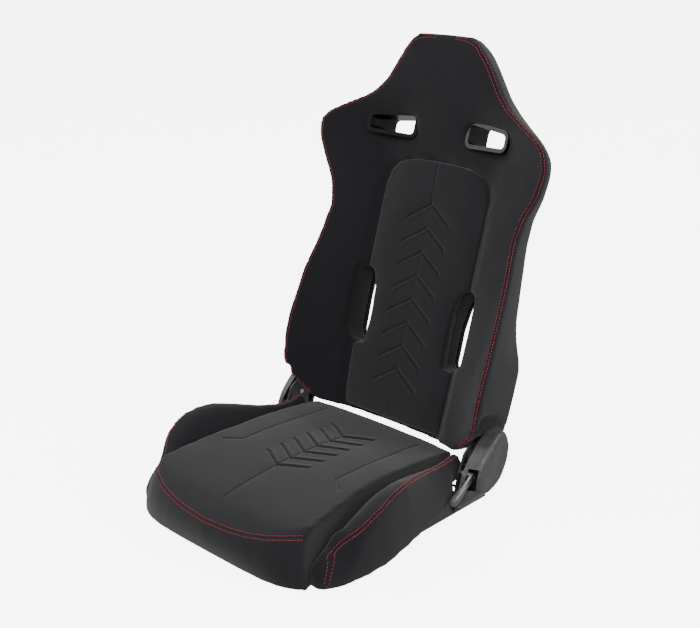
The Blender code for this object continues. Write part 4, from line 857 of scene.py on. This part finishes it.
def cushion_cover():
    """The quilted middle pad of the cushion, with its front skirt."""
    shares = np.sin(np.linspace(-1.0, 1.0, 61) * math.pi / 2)
    obj = loft("cushion_cover", [cushion_ring(float(u)) for u in shares])
    remesh(obj, 0.0046)
    relax(obj, 4)
    chevrons, marks = cushion_chevron_lines()
    nose = nose_line()
    coords = vertex_array(obj)
    flat = coords[:, :2]
    top = coords[:, 2] > 0.085
    pattern = np.where(top, lines_distance(flat, chevrons + marks), 1.0)
    held = np.maximum(np.exp(-(pattern / 0.004) ** 2), np.exp(-(line_distance(coords, nose) / 0.006) ** 2))
    held = np.maximum(held, (coords[:, 2] < FOAM_BOTTOM + 0.004) * (coords[:, 1] > -0.33))
    held = np.maximum(held, (np.abs(coords[:, 0]) > 0.178) * 0.8)
    held = np.maximum(held, (coords[:, 1] > 0.100) * 1.0)
    stuff(obj, held, 4.0, 0.0040)
    subdivide(obj)
    coords = vertex_array(obj)
    flat = coords[:, :2]
    top = coords[:, 2] > 0.085
    chevron = np.where(top, lines_distance(flat, chevrons), 1.0)
    groove(obj, chevron, 0.0028, 0.0025)
    behind = behind_chevron(flat)
    swell = 0.0024 * np.exp(-(behind / 0.0085) ** 2) * (behind > 0.0028) * top * (chevron > 0.0028)
    set_vertices(obj, vertex_array(obj) + normal_array(obj) * swell[:, None])
    groove(obj, np.where(top, lines_distance(flat, marks), 1.0), 0.0017, 0.0022)
    groove(obj, line_distance(vertex_array(obj), nose), *SEAM_GROOVE)
    finish_piece(obj, MATERIALS["insert_fabric"], "base")
    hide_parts("cushion_pad")
    return obj


def behind_chevron(flat):
    """How far each point lies behind the nearest cushion chevron in front of it."""
    behind = np.full(len(flat), 1.0)
    inside = np.abs(flat[:, 0]) < CUSHION_CHEVRON_HALF
    slope = CUSHION_CHEVRON_BACK / CUSHION_CHEVRON_HALF
    for i in range(CUSHION_CHEVRONS):
        apex = CUSHION_CHEVRON_FRONT + i * CUSHION_CHEVRON_PITCH
        gap = flat[:, 1] - (apex + slope * np.abs(flat[:, 0]))
        behind = np.where(inside & (gap > 0.0), np.minimum(behind, gap), behind)
    return behind


def nose_line():
    """The seam across the cushion's nose."""
    shares = np.linspace(-0.99, 0.99, 41)
    points = []
    for u in shares:
        y, z = float(table(NOSE, abs(u), 1)), float(table(NOSE, abs(u), 2))
        points.append((u * float(table(CUSHION_HALF, y)), y, z))
    return np.array(points)


def bolster_ring(side, y):
    """One closed section of a cushion bolster at y."""
    x_in, z_in, x_out, z_foot = (float(table(BOLSTER, y, k)) for k in range(1, 5))
    if y < BOLSTER_SEAM_Y:
        crest_x, crest_z = float(table(BOLSTER_CREST, y, 1)), float(table(BOLSTER_CREST, y, 2))
        share = (y - BOLSTER_TIP_Y) / (BOLSTER_SEAM_Y - BOLSTER_TIP_Y)
        crest_z = crest_z * (1 - share ** 3) + BOLSTER_SEAM_Z * share ** 3
    else:
        crest_x = float(np.interp(y, CUSHION_SEAM[:, 1], CUSHION_SEAM[:, 0]))
        crest_z = float(np.interp(y, CUSHION_SEAM[:, 1], CUSHION_SEAM[:, 2]))
    lean = 3.0 if y < -0.24 else 1.7
    inner = [(x_in + (crest_x - x_in) * t ** lean * 0.9,
              z_in + (crest_z - z_in) * math.sin(t * math.pi / 2))
             for t in np.linspace(0.0, 0.96, 12)]
    outer = []
    mid_z = 0.45 * crest_z + 0.55 * z_foot
    for t in np.linspace(0.0, 1.0, 14):
        z = crest_z + (z_foot - crest_z) * t
        reach = math.sin(math.pi * (0.10 + 0.72 * t)) if crest_z > mid_z else 0.5
        base = crest_x + (x_out - 0.008 - crest_x) * t ** 0.6
        outer.append((min(x_out, base + 0.010 * reach), z))
    inboard = max(x_in + 0.004, 0.2395) if y > -0.290 else x_in + 0.006
    foot = [(x_out - 0.012, z_foot - 0.001), (0.5 * (x_out + inboard), z_foot), (inboard, z_foot + 0.001)]
    if y > BOLSTER_STEP_Y:
        foot = [(x_out - 0.006, z_foot), (0.5 * (x_out + x_in), z_foot), (x_in + 0.003, z_foot)]
    rise = [(inboard if y <= BOLSTER_STEP_Y else x_in + 0.001, max(z_in - 0.002, z_foot + 0.002))]
    return [(side * x, y, z) for x, z in inner + outer + foot + rise]


def cushion_side(side):
    """A cushion bolster's cover and its seam."""
    name = "cushion_side_" + ("left" if side > 0 else "right")
    levels = np.concatenate([np.linspace(-0.314, -0.268, 12), np.linspace(-0.262, 0.052, 52),
                             np.linspace(0.056, 0.095, 9)])
    obj = loft(name, [bolster_ring(side, float(y)) for y in levels])
    remesh(obj, 0.0044)
    relax(obj, 6)
    coords = vertex_array(obj)
    line = CUSHION_SEAM * np.array([side, 1.0, 1.0])
    seam = line_distance(coords, line)
    held = np.exp(-(seam / 0.006) ** 2)
    held = np.maximum(held, (np.abs(coords[:, 0]) < 0.2450) * (coords[:, 2] < 0.070) * 1.0)
    held = np.maximum(held, (coords[:, 2] < 0.030) * 0.7)
    held = np.maximum(held, (coords[:, 1] > 0.020) * 1.0)
    stuff(obj, held, 3.0, 0.0040)
    subdivide(obj)
    groove(obj, line_distance(vertex_array(obj), line), *SEAM_GROOVE)
    finish_piece(obj, MATERIALS["knit_fabric"], "base")
    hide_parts("cushion_bolster_" + ("left" if side > 0 else "right"))
    return obj, line


# ---------------------------------------------------------------- carried-over nodes
def dress_nodes():
    """A procedural material, and a small bevel on hard edges, for every CAD node that shows."""
    slots = {entry["node"]: entry["material_slot"] for entry in frame["record"]["subparts"]}
    for name, node in frame["nodes"].items():
        node.data.materials.clear()
        node.data.materials.append(MATERIALS[slots[name]])
        if slots[name] not in ("knit_fabric", "insert_fabric", "cable_sheath", "spring_steel"):
            bevel = node.modifiers.new("edges", "BEVEL")
            bevel.width = 0.0006
            bevel.segments = 2
            bevel.limit_method = "ANGLE"
            bevel.angle_limit = math.radians(40)


# ---------------------------------------------------------------- studio
def area_light(name, location, target, size, energy):
    data = bpy.data.lights.new(name, "AREA")
    data.shape = "DISK"
    data.size = size
    data.energy = energy
    light = bpy.data.objects.new(name, data)
    light.location = location
    light.rotation_euler = (Vector(target) - Vector(location)).to_track_quat("-Z", "Y").to_euler()
    bpy.context.scene.collection.objects.link(light)


def studio_paper():
    """Pale paper that glows a little, so that no horizon shows."""
    material, nodes, links, shader, coords = new_material("studio_paper")
    paper = noise(nodes, links, coords, 3.0, 2.0)
    shade = tinted(nodes, links, paper, (0.93, 0.93, 0.93), (0.95, 0.95, 0.95))
    links.new(shade, shader.inputs["Base Color"])
    shader.inputs["Roughness"].default_value = 0.9
    shader.inputs["Emission Color"].default_value = (1.0, 1.0, 1.0, 1.0)
    shader.inputs["Emission Strength"].default_value = PAPER_GLOW
    return material


def studio():
    """A round paper floor that turns up into a wall far off; it lends the seat no light of its own."""
    sides = 64
    circle = [(math.cos(2 * math.pi * k / sides), math.sin(2 * math.pi * k / sides)) for k in range(sides)]
    verts = [(0.0, 0.0, 0.0)]
    for radius, height in PAPER_SWEEP:
        verts += [(radius * a, radius * b, height) for a, b in circle]
    faces = [(0, 1 + k, 1 + (k + 1) % sides) for k in range(sides)]
    for ring in range(len(PAPER_SWEEP) - 1):
        low, high = 1 + ring * sides, 1 + (ring + 1) * sides
        faces += [(low + k, high + k, high + (k + 1) % sides, low + (k + 1) % sides) for k in range(sides)]
    paper = mesh_from("studio_floor", verts, faces)
    paper.data.materials.append(studio_paper())
    paper.visible_diffuse = False
    paper.visible_glossy = False
    world = bpy.data.worlds.new("studio")
    world.use_nodes = True
    world.node_tree.nodes["Background"].inputs["Color"].default_value = (1.0, 1.0, 1.0, 1.0)
    world.node_tree.nodes["Background"].inputs["Strength"].default_value = WORLD_STRENGTH
    bpy.context.scene.world = world
    for light in LIGHTS:
        area_light(*light)


def camera():
    """A three-quarter view from the front, a little above."""
    data = bpy.data.cameras.new("camera")
    data.lens = CAMERA_LENS
    data.sensor_width = CAMERA_SENSOR
    data.clip_end = 50.0
    obj = bpy.data.objects.new("camera", data)
    target = Vector(CAMERA_TARGET)
    obj.location = target + Vector(CAMERA_DIRECTION) * CAMERA_DISTANCE
    obj.rotation_euler = (target - obj.location).to_track_quat("-Z", "Y").to_euler()
    bpy.context.scene.collection.objects.link(obj)
    bpy.context.scene.camera = obj


# ---------------------------------------------------------------- the scene
camera()
studio()
dress_nodes()
BACK = back_cover()
back_insert()
rear_panel()
CUSHION = cushion_cover()
for SIDE in (1, -1):
    WORD = "left" if SIDE > 0 else "right"
    PAD, LINE = cushion_side(SIDE)
    for ROW in (1, -1):
        stitches(f"back_stitches_{WORD}_{'inner' if ROW > 0 else 'outer'}", seam_line(SIDE), BACK,
                 ROW * STITCH_OFFSET, "back", THREAD)
        stitches(f"cushion_side_stitches_{WORD}_{'inner' if ROW > 0 else 'outer'}", LINE, PAD,
                 ROW * STITCH_OFFSET, "base", THREAD)
for ROW in (1, -1):
    stitches(f"nose_stitches_{'upper' if ROW > 0 else 'lower'}", nose_line(), CUSHION, ROW * STITCH_OFFSET,
             "base", THREAD)
